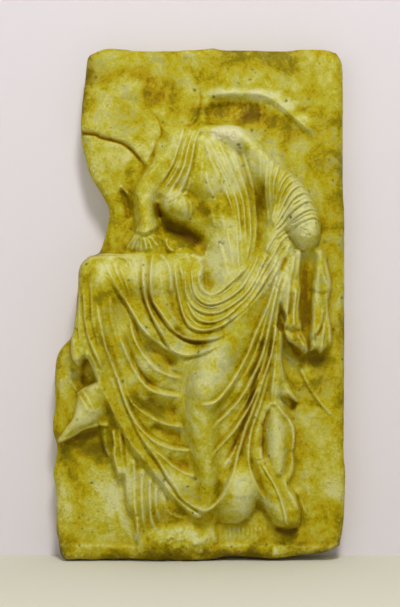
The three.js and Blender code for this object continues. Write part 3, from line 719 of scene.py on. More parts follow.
def rightLegFolds():
    # from the gathered cloth under the lost hand down to the point of the hem
    lines = [
        [(97, 40), (89, 22), (81, -1), (72.5, -20), (64, -40), (56, -61), (45, -83), (34, -100), (20, -114),
         (5, -118), (-3, -117)],
        [(101, 40), (94, 22), (88, 0), (82, -26), (75, -54), (67, -78), (58, -96), (48, -112), (36, -126),
         (24, -138), (12, -150)],
        [(104, 36), (97, 14), (92, -12), (88, -40), (82, -68), (74, -92), (64, -112), (54, -130), (42, -148),
         (28, -164), (12, -184)],
        [(94, 24), (92, 0), (90, -22), (88, -42), (85, -60), (80, -80), (74, -98), (68, -114), (62, -128),
         (57, -140), (53, -152), (50, -162), (47, -173), (43, -186), (40, -197), (36, -208), (31, -220),
         (25, -232), (17, -242), (7, -248), (-2, -251)],
    ]
    folds = [fold(line, 2.8, 5.2, (0.1, 0.1), -2.0) for line in lines]
    for first, last in zip(lines, lines[1:]):
        folds += foldsBetween(first, last, 1, 1.8, 3.0, (0.15, 0.5), -1.4)
    return folds + [
        fold([(72, -104), (62, -128), (52, -150), (42, -170), (32, -188), (20, -206)],
             1.8, 2.4, (0.2, 0.3), -1),
        fold([(84, -72), (79, -96), (72, -118), (65, -136), (60, -152), (57.5, -168), (56.5, -180),
              (58, -192), (62, -205), (67, -218), (72, -228), (77, -238)], 3.0, 5.2, (0.1, 0.1), 1.4),
        fold([(86, -116), (80, -125), (75, -137), (73, -150), (72, -165), (72, -178), (73, -186)],
             2.6, 4.4, (0.05, 0.06), 1),
        fold([(86, -116), (92, -122), (100, -133), (107, -142), (111.5, -151), (112, -165), (110, -178)],
             3.0, 4.6, (0.05, 0.1), 1.2),
        fold([(95, -20), (96, -45), (96.5, -62), (98, -84), (101, -100)], 2.2, 3.0, (0.15, 0.15), 0.8),
        fold([(91, -30), (90, -60), (88, -80), (86, -100), (85, -116)], 2.0, 3.0, (0.15, 0.15), 0.8),
        fold([(95, -70), (100, -92), (107, -108), (116, -118)], 2.2, 2.6, (0.2, 0.15)),
        fold([(72, -188), (82, -205), (90, -220), (96, -235), (100, -250), (102, -260), (110, -266)],
             2.4, 3.6, (0.1, 0.2), -1.6),
        fold([(64, -206), (71, -222), (77, -238), (81, -252), (86, -263)], 2.6, 2.0, (0.2, 0.2), -0.6),
        fold([(98, -208), (104, -222), (112, -236), (118, -250)], 2.6, 1.8, (0.2, 0.3), 0.6),
        fold([(112, -178), (112, -200), (106, -218), (117, -227), (123, -242), (127, -256)], 1.8, 2.4),
        fold([(125, -188), (130, -220), (130, -260)], 2.6, 0.9),
        fold([(21, -262), (40, -263), (55, -256.5), (62, -249.5), (68, -238)], 2.0, 2.6),
    ]


def hangingFolds():
    return [
        fold([(112, 58), (110, 42), (107, 28), (105, 12), (104, -4), (101, -18)], 2.6, 3.4, (0.1, 0.1), 1.6),
        fold([(101, 46), (97, 28), (95, 10)], 2.2, 2.4),
        fold([(114, 20), (112, 0), (111, -18), (112, -30)], 2.0, 3.0, (0.15, 0.1), 1.2),
        fold([(114, -36), (119, -46), (124, -55)], 3.4, 2.8, (0.2, 0.25), 1.2),
        fold([(134, 46), (134, 26), (136, 14)], 3.0, 2.6, (0.2, 0.2), 0.8),
        fold([(143, 48), (146, 34), (152, 20)], 2.4, 2.4, (0.2, 0.2), 1.2),
        fold([(133, 12), (134, -14), (132, -44)], 3.0, 2.6, (0.2, 0.1), 1),
        fold([(147, -4), (143, -24), (135, -38)], 2.8, 4.0, (0.2, 0.1), 1.8),
        fold([(148, -20), (145, -38), (144, -57)], 2.4, 3.6, (0.15, 0.05), 1.4),
        fold([(155, -24), (155, -40), (156, -54)], 2.4, 2.4, (0.15, 0.05), -0.8),
    ]


def tunicFolds():
    folds = [
        fold([(-112, -146), (-113, -164), (-109, -180), (-104, -190)], 4.2, 2.6, (0.1, 0.2)),
        fold([(-103, -148), (-101, -166), (-102, -182), (-99, -196), (-95, -205)],
             3.2, 5.0, (0.1, 0.06), -1.6),
        fold([(-96, -146), (-94, -170), (-93, -190), (-91, -205)], 3.0, 4.4, (0.1, 0.06), 1.6),
        fold([(-88, -166), (-88, -190), (-87, -214), (-86, -240)], 3.6, 3.0, (0.2, 0.1), -1.0),
        fold([(-81, -180), (-78, -212), (-76, -250), (-73, -282)], 3.4, 4.2, (0.1, 0.15), 1.6),
        fold([(-70, -194), (-69, -222), (-68, -246), (-66, -274)], 4.2, 3.6, (0.1, 0.25), 1.4),
        fold([(-60, -206), (-59, -238), (-57, -260), (-49, -278)], 3.2, 4.0, (0.1, 0.3), 1.6),
        fold([(-53, -216), (-51, -246), (-43, -268)], 3.6, 2.8, (0.2, 0.4), 1.2),
        fold([(-43, -226), (-40, -244), (-28, -254), (-12, -256)], 3.4, 3.4, (0.15, 0.3), 1.4),
        fold([(-75, -206), (-73, -236), (-71, -262)], 2.2, 1.6, (0.3, 0.3)),
        fold([(-64, -212), (-63, -240), (-60, -262)], 2.0, 1.4, (0.3, 0.3)),
    ]
    # short upright lines along the foot
    for step in range(12):
        x = 20 + 5.2 * step + random.uniform(-1, 1)
        folds.append(fold([(x, -266), (x + 0.6, -284)], 2.0, random.uniform(0.3, 1.2), (0.3, 0.4), 0.5))
    return folds


def kneeFolds():
    return [
        fold([(-114, 55), (-110, 44), (-104, 32), (-97, 20), (-90, 10)], 2.4, 2.4, (0.3, 0.1), -0.8),
        fold([(-104, 57), (-100, 46), (-95, 32), (-88, 14)], 2.4, 2.2, (0.3, 0.2), -0.6),
        fold([(-100, 57), (-91, 55), (-84, 50), (-78, 40)], 2.4, 2.2, (0.2, 0.2), -0.6),
        fold([(-93, 50), (-92, 38), (-86, 20), (-80, 0)], 2.4, 2.4, (0.2, 0.2), -0.6),
        fold([(-85, 56), (-78, 50), (-74, 36), (-74, 18)], 2.4, 2.2, (0.2, 0.2), -0.6),
        fold([(-66, 57), (-67, 42), (-67, 26), (-62, -4)], 2.4, 2.6, (0.15, 0.2), -0.8),
        fold([(-139, 20), (-137, 0), (-135, -18), (-131, -35), (-126, -48), (-120, -62), (-112, -80)],
             2.8, 4.4, (0.15, 0.15), -1.8),
        fold([(-130, 34), (-128, 5), (-125, -20), (-119, -42), (-112, -62)], 2.4, 3.0, (0.2, 0.2), -1),
        fold([(-106, 12), (-104, -10), (-100, -34), (-94, -56)], 2.6, 2.2, (0.2, 0.3), -0.8),
        fold([(-148.5, -10), (-149.5, -35), (-149.5, -55), (-148, -68)], 3.0, 4.4, (0.15, 0.04), -1),
        fold([(-143, 14), (-143, -20), (-141, -50)], 2.0, 2.4, (0.2, 0.2), -0.8),
        fold([(-134, -50), (-130, -72), (-124, -92), (-117, -108)], 2.2, 3.0, (0.15, 0.2), -0.8),
        fold([(-156, -90), (-149, -101), (-144, -110)], 2.6, 2.2),
        fold([(-141, -98), (-133, -110), (-126, -122), (-120, -134)], 1.6, 2.2, (0.2, 0.2), 0.6),
        fold([(-145, -106), (-137, -117), (-130, -130)], 1.6, 2.0, (0.2, 0.2), 0.6),
        fold([(-169, -164), (-150, -158.5), (-135, -149), (-120, -147)], 2.4, 3.2, (0.02, 0.04), -1),
    ]


def cuffFolds():
    folds = [fold([(-80, 97), (-75, 88), (-66, 84), (-57, 87), (-50, 95), (-48, 107)],
                  3.8, 4.6, (0.25, 0.25), -2.0)]
    for x, z in ((-88, 64), (-82, 60), (-76, 60), (-70, 60), (-62, 60), (-55, 61), (-47, 66), (-40, 76)):
        middle = (-68 + (x + 68) * 0.6, 84 + (z - 84) * 0.45)
        folds.append(fold([(-68, 84), middle, (x, z)], 2.0, 3.0, (0.15, 0.2), 0.6))
    return folds + [
        fold([(-38, 82), (-39, 72), (-36, 66), (-28, 61)], 2.8, 3.4, (0.25, 0.25), 1),
        fold([(-66, 80), (-54, 77), (-44, 80), (-36, 86)], 2.2, 2.4, (0.25, 0.25)),
        fold([(-31, 80), (-28, 70), (-18, 62)], 2.6, 2.4, (0.25, 0.25), 0.8),
        fold([(-21, 74), (-13, 66), (-4, 54)], 2.6, 2.4, (0.25, 0.25), 0.8),
        fold([(-14, 78), (-5, 70), (2, 58)], 2.2, 1.8, (0.25, 0.25), 0.6),
    ]


def rockFolds():
    return [
        fold([(118, -72), (128, -94), (142, -116), (162, -138)], 3.0, 2.6, (0.15, 0.2), -0.9),
        fold([(100, -60), (108, -66), (118, -74)], 2.0, 1.8),
        fold([(-97, 142), (-90, 136), (-84, 128)], 2.4, 1.8, (0.2, 0.3), 1),
    ]


# Deep places cut last, with the running drill and the point

def carveHollows():
    # line, depth, width, and dirt and painted shade of each
    for points, depth, width, dirtAndPaintedLight in (
        ([(75, -58), (66, -92), (60, -114), (55, -131), (48, -150), (40, -170), (30, -190)], 3.6, 3.2, 1.0),
        ([(86, -40), (80, -70), (72, -100)], 2.4, 2.0, 0.8),
        ([(80, -30), (70, -62), (58, -92)], 1.6, 2.0, 0.6),
        ([(-66, -46), (-48, -62), (-28, -76)], 7.5, 9, 0.45),
        ([(-88, -62), (-70, -86), (-46, -102)], 4, 6, 0.45),
        ([(-64, -110), (-44, -126), (-24, -132)], 6, 8, 0.45),
        ([(-56, -142), (-38, -156), (-20, -161)], 5.5, 7, 0.45),
        ([(-42, -180), (-26, -190), (-10, -194)], 4, 6, 0.5),
        ([(-34, -22), (-22, -38), (-6, -48), (14, -48)], 3, 4, 0.9),
        ([(-66, 20), (-58, -4), (-46, -22), (-34, -38)], 1.5, 5, 0.5),
        ([(-38, 44), (-36, 14), (-28, -10), (-16, -28)], 1.5, 4, 0.5),
        ([(-134, -62), (-140, -80), (-139, -92)], 2, 4, 0.8),
        ([(102, 56), (96, 36)], 2, 3, 0.8),
        ([(94, 4), (94, -18), (97, -38)], 2, 3, 0.9),
        ([(127, 60), (126, 20), (126, -10), (125, -38)], 4, 5, 0.8),
        ([(104, -54), (124, -66), (150, -66), (160, -60)], 1, 4, 0.4),
        ([(106, -44), (113, -56), (122, -63)], 1.5, 3, 0.5),
        (crackLine, 3.5, 2.2, 0.7),
        ([(-60, 164), (-57, 173), (-52, 189), (-45.5, 203), (-47, 214), (-52, 224), (-62, 231)],
         1.2, 1.2, 0.2),
        ([(0, 262), (1, 245), (-2, 228), (-5, 219), (-10, 214), (-26, 213)], 1.5, 1.4, 0.3),
        ([(-95, 140), (-89, 124), (-84, 98)], 6, 4.5, 0.7),
        ([(-51, 121), (-50, 112), (-46, 102)], 3.5, 4, 1.1),
        ([(-46, 100), (-34, 92), (-20, 85), (-8, 77), (2, 66)], 2, 9, 0.75),
        ([(-28, 88), (-12, 80), (-2, 70)], 1, 6, 0.6),
        ([(-4, 120), (6, 112), (14, 108)], 1, 6, 0.5),
        ([(72, 150), (74, 128), (78, 106)], 2, 3, 0.6),
        ([(126, 120), (115, 120), (105, 114)], 2.0, 1.2, 0.3),
        ([(7, 40), (9, 26), (16, 18)], 2, 4, 0.6),
        ([(86, -269), (104, -275), (120, -270)], 1.5, 3, 0.8),
        ([(72, -176), (73, -150), (77, -134)], 2.5, 2.6, 0.9),
        ([(20, -262), (44, -266), (60, -258)], 0.8, 2.4, 0.3),
        ([(-118, -153), (-140, -160), (-166, -170)], 1, 4, 0.7),
        ([(104, -106), (112, -122), (110, -132)], 1.5, 3, 0.9),
    ):
        hollow(points, depth, width, dirtAndPaintedLight)
    # the veil's hollow gets painted shade along with its dirt
    hollow([(8, 234), (28, 238), (50, 236), (74, 228), (98, 213)], 0.8, 8, 0.45, (0.1, 0.4))
    # streaks that run down inside the veil
    for step in range(7):
        x = 14 + 9 * step + random.uniform(-2.5, 2.5)
        bottom = random.uniform(212, 226)
        hollow([(x, 243), (x + 1, 234), (x + 4, bottom)], random.uniform(0.8, 1.6), 1.8, 0.45, (0.1, 0.6))


def carvePits():
    for x, z, radius, depth in (
        (-138, -93, 4.5, 7), (-152, -80, 3, 3), (-95, -207, 4, 5), (-75, -253, 2.2, 3), (48, 233, 3.0, 2.4),
        (76, 215, 1.4, 1.0), (-30, 159, 1.8, 1.0), (106, 267, 1.4, 1.0), (50, 294, 1.4, 1.0),
        (-126, 40, 2.2, 1.4), (-85, -27, 1.6, 1.2), (-64, -52, 1.6, 1.2), (5, -220, 1.8, 1.4),
        (48, -253, 1.8, 1.2), (-127, -205, 1.8, 1.6), (-118, -213, 1.6, 1.4), (-146, -219, 1.6, 1.4),
        (-126, -229, 2.0, 1.8), (-122, -250, 1.8, 1.4), (-145, -258, 2.0, 1.6), (-134, -260, 1.8, 1.6),
        (-115, -276, 1.6, 1.2), (-12, -113, 1.6, 1.0), (-17, -124, 1.4, 1.0), (5, -160, 1.6, 1.0),
    ):
        pit(x, z, radius, depth)


def edgeAt(points, key, value, wanted):
    # one coordinate of an edge where the other is as wanted: 0 is x and 1 is z
    line = throughPoints(points, 2)
    return np.interp(wanted, line[:, key], line[:, value])


wear = {
    "melt": 1.0,            # how far the masses run into each other before the folds are cut
    "blunt": 0.45,
    "grain": 0.22,
    "grainSize": 7,
    "pocks": 0.5,
    "pockSize": 9,
    "pockFrom": (0.55, 1.3),
    "rimUneven": 0.35,
    "rimUnevenSize": 45,
    "rimSharpness": 2.2,
    "rimChips": 0.25,
    "rimChipSize": 16,
}

# Broken and rough places: outline, grain, roughness, how far the stone is sunk
chips = [
    # the shoulder
    ([(12, 210), (22, 214), (40, 211), (46, 200), (38, 190), (24, 191), (14, 200)], 5, 2.2, 1.2),
    # the top edge and the foot
    ([(98, 297), (118, 297), (118, 286), (100, 286)], 6, 0.8, 0.8),
    ([(86, -288), (94, -288), (95, -306), (86, -306)], 6, 0.9, 1.0),
    ([(-130, -292), (-118, -292), (-116, -304), (-130, -306)], 6, 0.9, 1.0),
    # where the hand was, and the mound on the base
    ([(116, 90), (130, 95), (142, 86), (141, 68), (130, 60), (116, 62)], 6, 1.5, 0),
    ([(-60, -286), (-44, -268), (-14, -266), (6, -282), (-20, -297)], 6, 1.5, 0),
]


def distanceFromRim():
    # how far inside the nearest of the four edges, worked out for the whole raster
    left, right = edgeAt(leftEdge, 1, 0, zs)[:, None], edgeAt(rightEdge, 1, 0, zs)[:, None]
    bottom, top = edgeAt(bottomEdge, 0, 1, xs)[None, :], edgeAt(topEdge, 0, 1, xs)[None, :]
    slope = np.gradient(left[:, 0], zs)[:, None]
    inward = np.minimum((acrossMap - left) / np.sqrt(1 + slope ** 2), right - acrossMap)
    return np.minimum(inward, np.minimum(upMap - bottom, top - upMap))


def wearSurface():
    height[:] = blur(height, wear["blunt"])
    grain = cloud(acrossMap, upMap, wear["grainSize"], 3)
    pocks = ramp(cloud(acrossMap, upMap, wear["pockSize"], 3), *wear["pockFrom"])
    height[:] += wear["grain"] * grain - wear["pocks"] * pocks
    for outline, grainSize, depth, sunk in chips:
        roughPatch(outline, grainSize, depth, sunk)
    # the worn front edge
    inward = distanceFromRim()
    reach = slab["rimWidth"] * (1 + wear["rimUneven"] * cloud(acrossMap, upMap, wear["rimUnevenSize"], 3))
    worn = (1 - np.clip(inward / reach, 0, 1)) ** wear["rimSharpness"]
    ragged = 1 + wear["rimChips"] * cloud(acrossMap, upMap, wear["rimChipSize"], 2)
    height[:] -= slab["rimDrop"] * worn * ragged
    return inward


def carve():
    carveGround()
    carveTunic()
    carveStandingFoot()
    carveBase()
    carveHangingEnds()
    carveBody()
    carveMantleSleeve()
    carveRightFoot()
    carveLap()
    carveShin()
    height[:] = blur(height, wear["melt"])
    stage("masses laid")
    carveFolds(chestFolds() + sleeveFolds() + lapFolds() + thighFolds() + rightLegFolds() + hangingFolds()
               + tunicFolds() + kneeFolds() + cuffFolds() + rockFolds())
    carveHollows()
    carvePits()
    inward = wearSurface()
    stage("folds cut")
    return inward


# The mesh: a warped grid for the face, rings for the broken sides, a flat back

def sample(field, x, z):
    # the value of a raster at any place
    u = np.clip((x - xs[0]) / slab["step"], 0, len(xs) - 1.001)
    v = np.clip((z - zs[0]) / slab["step"], 0, len(zs) - 1.001)
    i, j = np.floor(u).astype(int), np.floor(v).astype(int)
    s, t = u - i, v - j
    low = field[j, i] * (1 - s) + field[j, i + 1] * s
    high = field[j + 1, i] * (1 - s) + field[j + 1, i + 1] * s
    return low * (1 - t) + high * t


def faceGrid():
    columns = int((boxHigh[0] - boxLow[0]) / mm / slab["step"])
    rows = int((boxHigh[2] - boxLow[2]) / mm / slab["step"])
    u, v = np.meshgrid(np.linspace(0, 1, columns), np.linspace(0, 1, rows))
    x = boxLow[0] / mm + u * (boxHigh[0] - boxLow[0]) / mm
    z = boxLow[2] / mm + v * (boxHigh[2] - boxLow[2]) / mm
    for _ in range(slab["gridPasses"]):
        x = edgeAt(leftEdge, 1, 0, z) * (1 - u) + edgeAt(rightEdge, 1, 0, z) * u
        z = edgeAt(bottomEdge, 0, 1, x) * (1 - v) + edgeAt(topEdge, 0, 1, x) * v
    return x, z


def plaqueMesh():
    x, z = faceGrid()
    rows, columns = x.shape
    y = -(slab["thickness"] + sample(height, x, z))
    points = [np.stack([x.ravel(), y.ravel(), z.ravel()], 1)]
    number = np.arange(rows * columns).reshape(rows, columns)
    corners = [number[:-1, :-1], number[:-1, 1:], number[1:, 1:], number[1:, :-1]]
    quads = [np.stack(corners, -1).reshape(-1, 4)]
    # rim of the face, counter-clockwise as seen from the front
    rim = np.concatenate([number[0, :-1], number[:-1, -1], number[-1, :0:-1], number[:0:-1, 0]])
    start = points[0][rim]
    tangent = np.roll(start, -3, 0) - np.roll(start, 3, 0)
    outward = np.stack([tangent[:, 2], np.zeros(len(rim)), -tangent[:, 0]], 1)
    outward /= np.linalg.norm(outward, axis=1)[:, None]
    around = lengthsAlong(start[:, [0, 2]])
    rings = [rim]
    total = rows * columns
    for ring in range(1, slab["sideRings"] + 1):
        # the first quarter of the side turns rough, and the last rounds off to the back
        t = ring / slab["sideRings"]
        depth = start[:, 1] * (1 - t)
        rough = slab["sideRough"] * cloudOnSides(around, depth) * min(1, 4 * t)
        inset = slab["backRound"] * max(0, 4 * t - 3) ** 2
        place = start + outward * (rough * (1 - t ** 6) - inset)[:, None]
        place[:, 1] = depth
        points.append(place)
        rings.append(np.arange(total, total + len(rim)))
        total += len(rim)
    for first, second in zip(rings, rings[1:]):
        quads.append(np.stack([first, second, np.roll(second, -1), np.roll(first, -1)], 1))
    back = list(rings[-1][::-1])
    vertices = np.vstack(points) * mm
    faces = [tuple(quad) for quad in np.vstack(quads).tolist()]
    return vertices, faces, back


sideCells = {"along": 7.0, "deep": 9.0, "layers": 3}
scatterSteps = {"across": 127.1, "down": 311.7, "layer": 74.7, "stretch": 43758.5453}


def scatter(i, j, layer):
    # a value from -1 to 1 for each cell that looks random and is always the same
    angle = i * scatterSteps["across"] + j * scatterSteps["down"] + layer * scatterSteps["layer"]
    return ((np.sin(angle) * scatterSteps["stretch"]) % 1) * 2 - 1


def cloudOnSides(around, depth):
    total = np.zeros(len(around))
    for k in range(1, sideCells["layers"] + 1):
        u = around / sideCells["along"] * k
        v = -depth / sideCells["deep"] * k
        i, j = np.floor(u).astype(int), np.floor(v).astype(int)
        s, t = ramp(u - i, 0, 1), ramp(v - j, 0, 1)
        low = scatter(i, j, k) * (1 - s) + scatter(i + 1, j, k) * s
        high = scatter(i, j + 1, k) * (1 - s) + scatter(i + 1, j + 1, k) * s
        total += (low * (1 - t) + high * t) / k
    return total


def buildPlaque():
    vertices, faces, back = plaqueMesh()
    mesh = bpy.data.meshes.new("carved_plaque")
    mesh.from_pydata(vertices.tolist(), [], faces + [back])
    mesh.update()
    stage(f"mesh made: {len(faces)} faces")
    dense = bpy.data.objects.new("dense_plaque", mesh)
    bpy.context.scene.collection.objects.link(dense)
    thin = dense.modifiers.new("Thin out", "DECIMATE")
    thin.ratio = slab["triangles"] / (2 * len(faces) + len(back))
    graph = bpy.context.evaluated_depsgraph_get()
    slim = bpy.data.meshes.new_from_object(dense.evaluated_get(graph))
    bpy.data.objects.remove(dense)
    slim.name = "carved_plaque"
    piece = bpy.data.objects.new("carved_plaque", slim)
    bpy.context.scene.collection.objects.link(piece)
    slim.polygons.foreach_set("use_smooth", np.ones(len(slim.polygons), bool))
    stage(f"thinned out: {len(slim.polygons)} faces")
    return piece


# Where dirt settled and shade is painted in, and where hands and weather wore the stone pale and highlights
# are painted on

patinaAndLightMaps = {
    "nearReach": 1.6,       # how far round it a place's height is compared, here for narrow hollows
    "wideReach": 8.0,
    "crestReach": 1.2,
    "near": 0.27,
    "nearLimits": (-1, 0.42),
    "wide": 0.02,
    "wideLimits": (-0.2, 0.12),
    "crest": 0.7,
    "slopeReach": 2.5,
    "steep": (0.5, 1.5),    # slopes between these hold less and less patina and painted shade
    "steepLoss": 0.85,
    "groundReach": 3,
    "groundHigh": (6, 14),  # stone lower than this is ground, and all of it is a little dirty
    "groundDirt": 0.24,
    "blotSize": 26,
    "blotReach": 0.35,      # how far blots push the edge of a settled place about
    "blotEdge": (-1.35, -0.25),
    "edgeWide": 16,
    "sideFrom": 0.75,       # share of the slab's thickness where the maps of the face begin
    "sideFade": 6,
}

# Places painted darker (above zero), as dirt and as painted shade and shadow, or paler (below), as paler
# stone and as painted highlight: x, z, half width, half height, amount
settledDirtAndPaintedLight = [
    (34, 230, 40, 11, 1.0), (70, 216, 34, 12, 0.6), (110, 206, 26, 14, 0.4), (14, 112, 20, 14, 0.3),
    (-50, 254, 20, 18, 0.8), (-74, 276, 18, 14, 0.5), (-136, -174, 34, 10, 0.6), (-138, -98, 10, 14, 0.6),
    (138, -70, 24, 8, 0.3), (112, -42, 12, 14, 0.5), (72, 126, 8, 32, 0.25), (60, -130, 12, 50, 0.3),
    (44, -180, 12, 30, 0.3), (-40, -298, 120, 14, 0.35), (120, -284, 60, 16, 0.4), (56, -300, 46, 9, 0.7),
    (90, -297, 4, 8, -1.5), (150, 90, 20, 60, 0.15), (-60, -10, 18, 20, 0.25), (-112, 14, 42, 50, 0.3),
    (-20, -256, 40, 12, 0.4), (84, -270, 40, 8, 0.3), (140, -180, 30, 60, 0.12), (60, 296, 110, 12, 0.2),
    (-136, 260, 12, 50, 0.4), (-100, 276, 40, 16, 0.25), (-116, 150, 14, 26, 0.3), (-100, 172, 26, 12, 0.2),
    (30, 204, 16, 10, -2.0), (48, 198, 30, 16, -0.7), (76, 172, 22, 22, -0.5), (-92, 234, 30, 30, 0.15),
    (-10, 188, 40, 24, -0.6), (-100, 50, 34, 10, 0.1), (-50, 46, 34, 14, -0.3), (12, -84, 24, 26, -0.3),
    (30, 60, 24, 40, -0.4), (26, 160, 30, 36, -0.8), (34, 252, 26, 7, -1.2), (70, 250, 22, 7, -1.2),
    (99, 237, 15, 9, -1.1), (122, 217, 12, 10, -1.1), (104, 108, 34, 44, -0.6), (48, -224, 12, 24, -0.7),
    (-110, -240, 24, 24, -0.4), (90, -160, 10, 40, -0.4), (-130, -128, 22, 18, -0.35), (134, 0, 30, 64, 0.4),
    (40, -40, 26, 26, -0.25), (90, 268, 60, 10, -0.3), (-26, 118, 18, 14, 0.15), (-26, -276, 30, 10, -0.2),
    (126, 78, 18, 18, -0.3),
]


def dirtAndPaintedLightMap():
    # dirt on the ground and in the hollows, with painted shade and shadow in hollows and under overhangs, and
    # painted highlights from the listed pale spots
    maps = patinaAndLightMaps
    ground = 1 - ramp(blur(height, maps["groundReach"]), *maps["groundHigh"])
    dirtAndPaintedLight = grimeAndPaintedShade + maps["groundDirt"] * ground
    blots = cloud(acrossMap, upMap, maps["blotSize"], 4, 0.6)
    for middleX, middleZ, wideness, tallness, amount in settledDirtAndPaintedLight:
        away = np.hypot((acrossMap - middleX) / wideness, (upMap - middleZ) / tallness)
        dirtAndPaintedLight += amount * ramp(-away - maps["blotReach"] * blots, *maps["blotEdge"])
    return dirtAndPaintedLight


def hollowPatinaAndShadeMap():
    # narrow hollows read darker: yellow patina, and painted shade where light reaches less
    maps = patinaAndLightMaps
    near = blur(height, maps["nearReach"]) - height
    wide = blur(height, maps["wideReach"]) - height
    slopeZ, slopeX = np.gradient(blur(height, maps["slopeReach"]), slab["step"])
    calm = 1 - maps["steepLoss"] * ramp(np.hypot(slopeX, slopeZ), *maps["steep"])
    narrow = np.clip(maps["near"] * near, *maps["nearLimits"])
    broad = np.clip(maps["wide"] * wide, *maps["wideLimits"])
    return calm * narrow + broad


def paintPatinaAndLight(piece, inward):
    # the maps hold patina, dirt and wear, and painted shade and highlights
    maps = patinaAndLightMaps
    places = np.zeros(len(piece.data.vertices) * 3)
    piece.data.vertices.foreach_get("co", places)
    x, y, z = (places.reshape(-1, 3) / mm).T
    fields = {
        "hollow": hollowPatinaAndShadeMap(),
        "ridge": maps["crest"] * (height - blur(height, maps["crestReach"])),
        "dirtAndPaintedLight": dirtAndPaintedLightMap(),
        "edge": np.clip(1 - inward / maps["edgeWide"], 0, 1),
    }
    face = np.clip((-y - slab["thickness"] * maps["sideFrom"]) / maps["sideFade"], 0, 1)
    for name, field in fields.items():
        layer = piece.data.attributes.new(name, "FLOAT", "POINT")
        layer.data.foreach_set("value", (sample(field, x, z) * face).astype(np.float32))
    # these maps include painted shade and painted highlights
    stage("patina maps painted")


class Value:
    # A shader socket that takes part in plain arithmetic.
    def __init__(self, finish, socket):
        self.finish = finish
        self.socket = socket

    def combine(self, operation, first, second):
        return self.finish.combine(operation, first, second)

    def __add__(self, other):
        return self.combine("ADD", self, other)

    def __radd__(self, other):
        return self.combine("ADD", other, self)

    def __sub__(self, other):
        return self.combine("SUBTRACT", self, other)

    def __rsub__(self, other):
        return self.combine("SUBTRACT", other, self)

    def __mul__(self, other):
        return self.combine("MULTIPLY", self, other)

    def __rmul__(self, other):
        return self.combine("MULTIPLY", other, self)


class Finish:
    def __init__(self, name):
        self.material = bpy.data.materials.new(name)
        self.material.use_nodes = True
        self.tree = self.material.node_tree
        self.surface = self.tree.nodes["Principled BSDF"]

    def plug(self, socket, value):
        if isinstance(value, Value):
            self.tree.links.new(value.socket, socket)
        elif isinstance(value, tuple) and len(value) == 3 and socket.type == "RGBA":
            socket.default_value = (*value, 1)
        else:
            socket.default_value = value

    def node(self, kind, settings=None, sockets=None, output=0):
        made = self.tree.nodes.new(kind)
        for key, value in (settings or {}).items():
            if key == "stops":
                self.setStops(made.color_ramp.elements, value)
            else:
                setattr(made, key, value)
        for key, value in (sockets or {}).items():
            self.plug(made.inputs[key], value)
        return Value(self, made.outputs[output])

    def setStops(self, stops, wanted):
        while len(stops) > 1:
            stops.remove(stops[-1])
        for i, (position, colour) in enumerate(wanted):
            stop = stops[0] if i == 0 else stops.new(position)
            stop.position = position
            stop.color = (*colour, 1)

    def combine(self, operation, first, second=0.0):
        return self.node("ShaderNodeMath", {"operation": operation}, {0: first, 1: second})

    def set(self, sockets):
        for key, value in sockets.items():
            self.plug(self.surface.inputs[key], value)

    def mix(self, mask, first, second, blend="MIX"):
        settings = {"data_type": "RGBA", "blend_type": blend, "clamp_factor": True}
        return self.node("ShaderNodeMix", settings, {0: mask, 6: first, 7: second}, 2)

    def between(self, value, low, high):
        sockets = {"Value": value, "From Min": low, "From Max": high}
        return self.node("ShaderNodeMapRange", {"interpolation_type": "SMOOTHSTEP"}, sockets)

    def noise(self, coords, scale, detail, rough, distortion):
        sockets = {"Vector": coords, "Scale": scale, "Detail": detail, "Roughness": rough,
                   "Distortion": distortion}
        return self.node("ShaderNodeTexNoise", {}, sockets)

    def attribute(self, name):
        return self.node("ShaderNodeAttribute", {"attribute_name": name}, {}, 2)


def tone(red, green, blue):
    # a colour picked on a screen, as linear light
    parts = [value / 255 for value in (red, green, blue)]
    return tuple(part / 12.92 if part < 0.04 else ((part + 0.055) / 1.055) ** 2.4 for part in parts)


marble = {
    "pale": tone(205, 203, 136),
    "cream": tone(194, 188, 90),
    "olive": tone(178, 170, 44),
    "ochre": tone(174, 155, 4),
    "moss": tone(138, 124, 2),
    "deep": tone(112, 98, 0),
    "greyGreen": tone(150, 150, 92),
    "washOfDirtAndShade": tone(242, 221, 72),         # yellow dirt and patina laid over whatever colour lies beneath, and painted shade where it follows hollows and painted dark places
    # deep dirt and painted shade, laid over the deepest hollows and painted dark places
    "deepDirtAndShade": tone(218, 186, 64),
    # pale worn stone, also laid on crests as a painted highlight
    "worn": tone(212, 206, 134),
    "fresh": tone(216, 208, 168),       # stone that broke later
    "spot": tone(82, 76, 14),
}

# scale, detail, roughness and distortion of each noise
marbleNoise = {
    "patches": (15, 6, 0.62, 0.7),
    "mottle": (60, 6, 0.68, 0.5),
    "grain": (320, 4, 0.65, 0),
    "stain": (6.5, 4, 0.55, 0.4),
    "veins": (24, 5, 0.6, 1.4),
}

# Where each tone of the film lies, from thick to thin
filmStops = {"deep": 0.30, "moss": 0.40, "ochre": 0.455, "olive": 0.505, "cream": 0.56, "pale": 0.62}

# How much of each thing the surface shows
marbleShare = {
    "base": 0.02,           # the film: from the deepest tone, where this is low, to the palest
    "patches": 0.6,
    "mottle": 0.4,
    "stain": 0.16,
    "grain": 0.16,
    "edge": 0.07,
    "dirtAndPaintedLight": 0.12,
    "hollow": 0.1,
    "grey": 0.6,
    "worn": 0.42,
    "fresh": 0.6,
    "pores": 0.75,
    "veins": 0.4,
    "poreScale": 75.0,
    "bump": 0.7,
    "bumpHigh": 0.0014,
    "shine": 0.09,
}

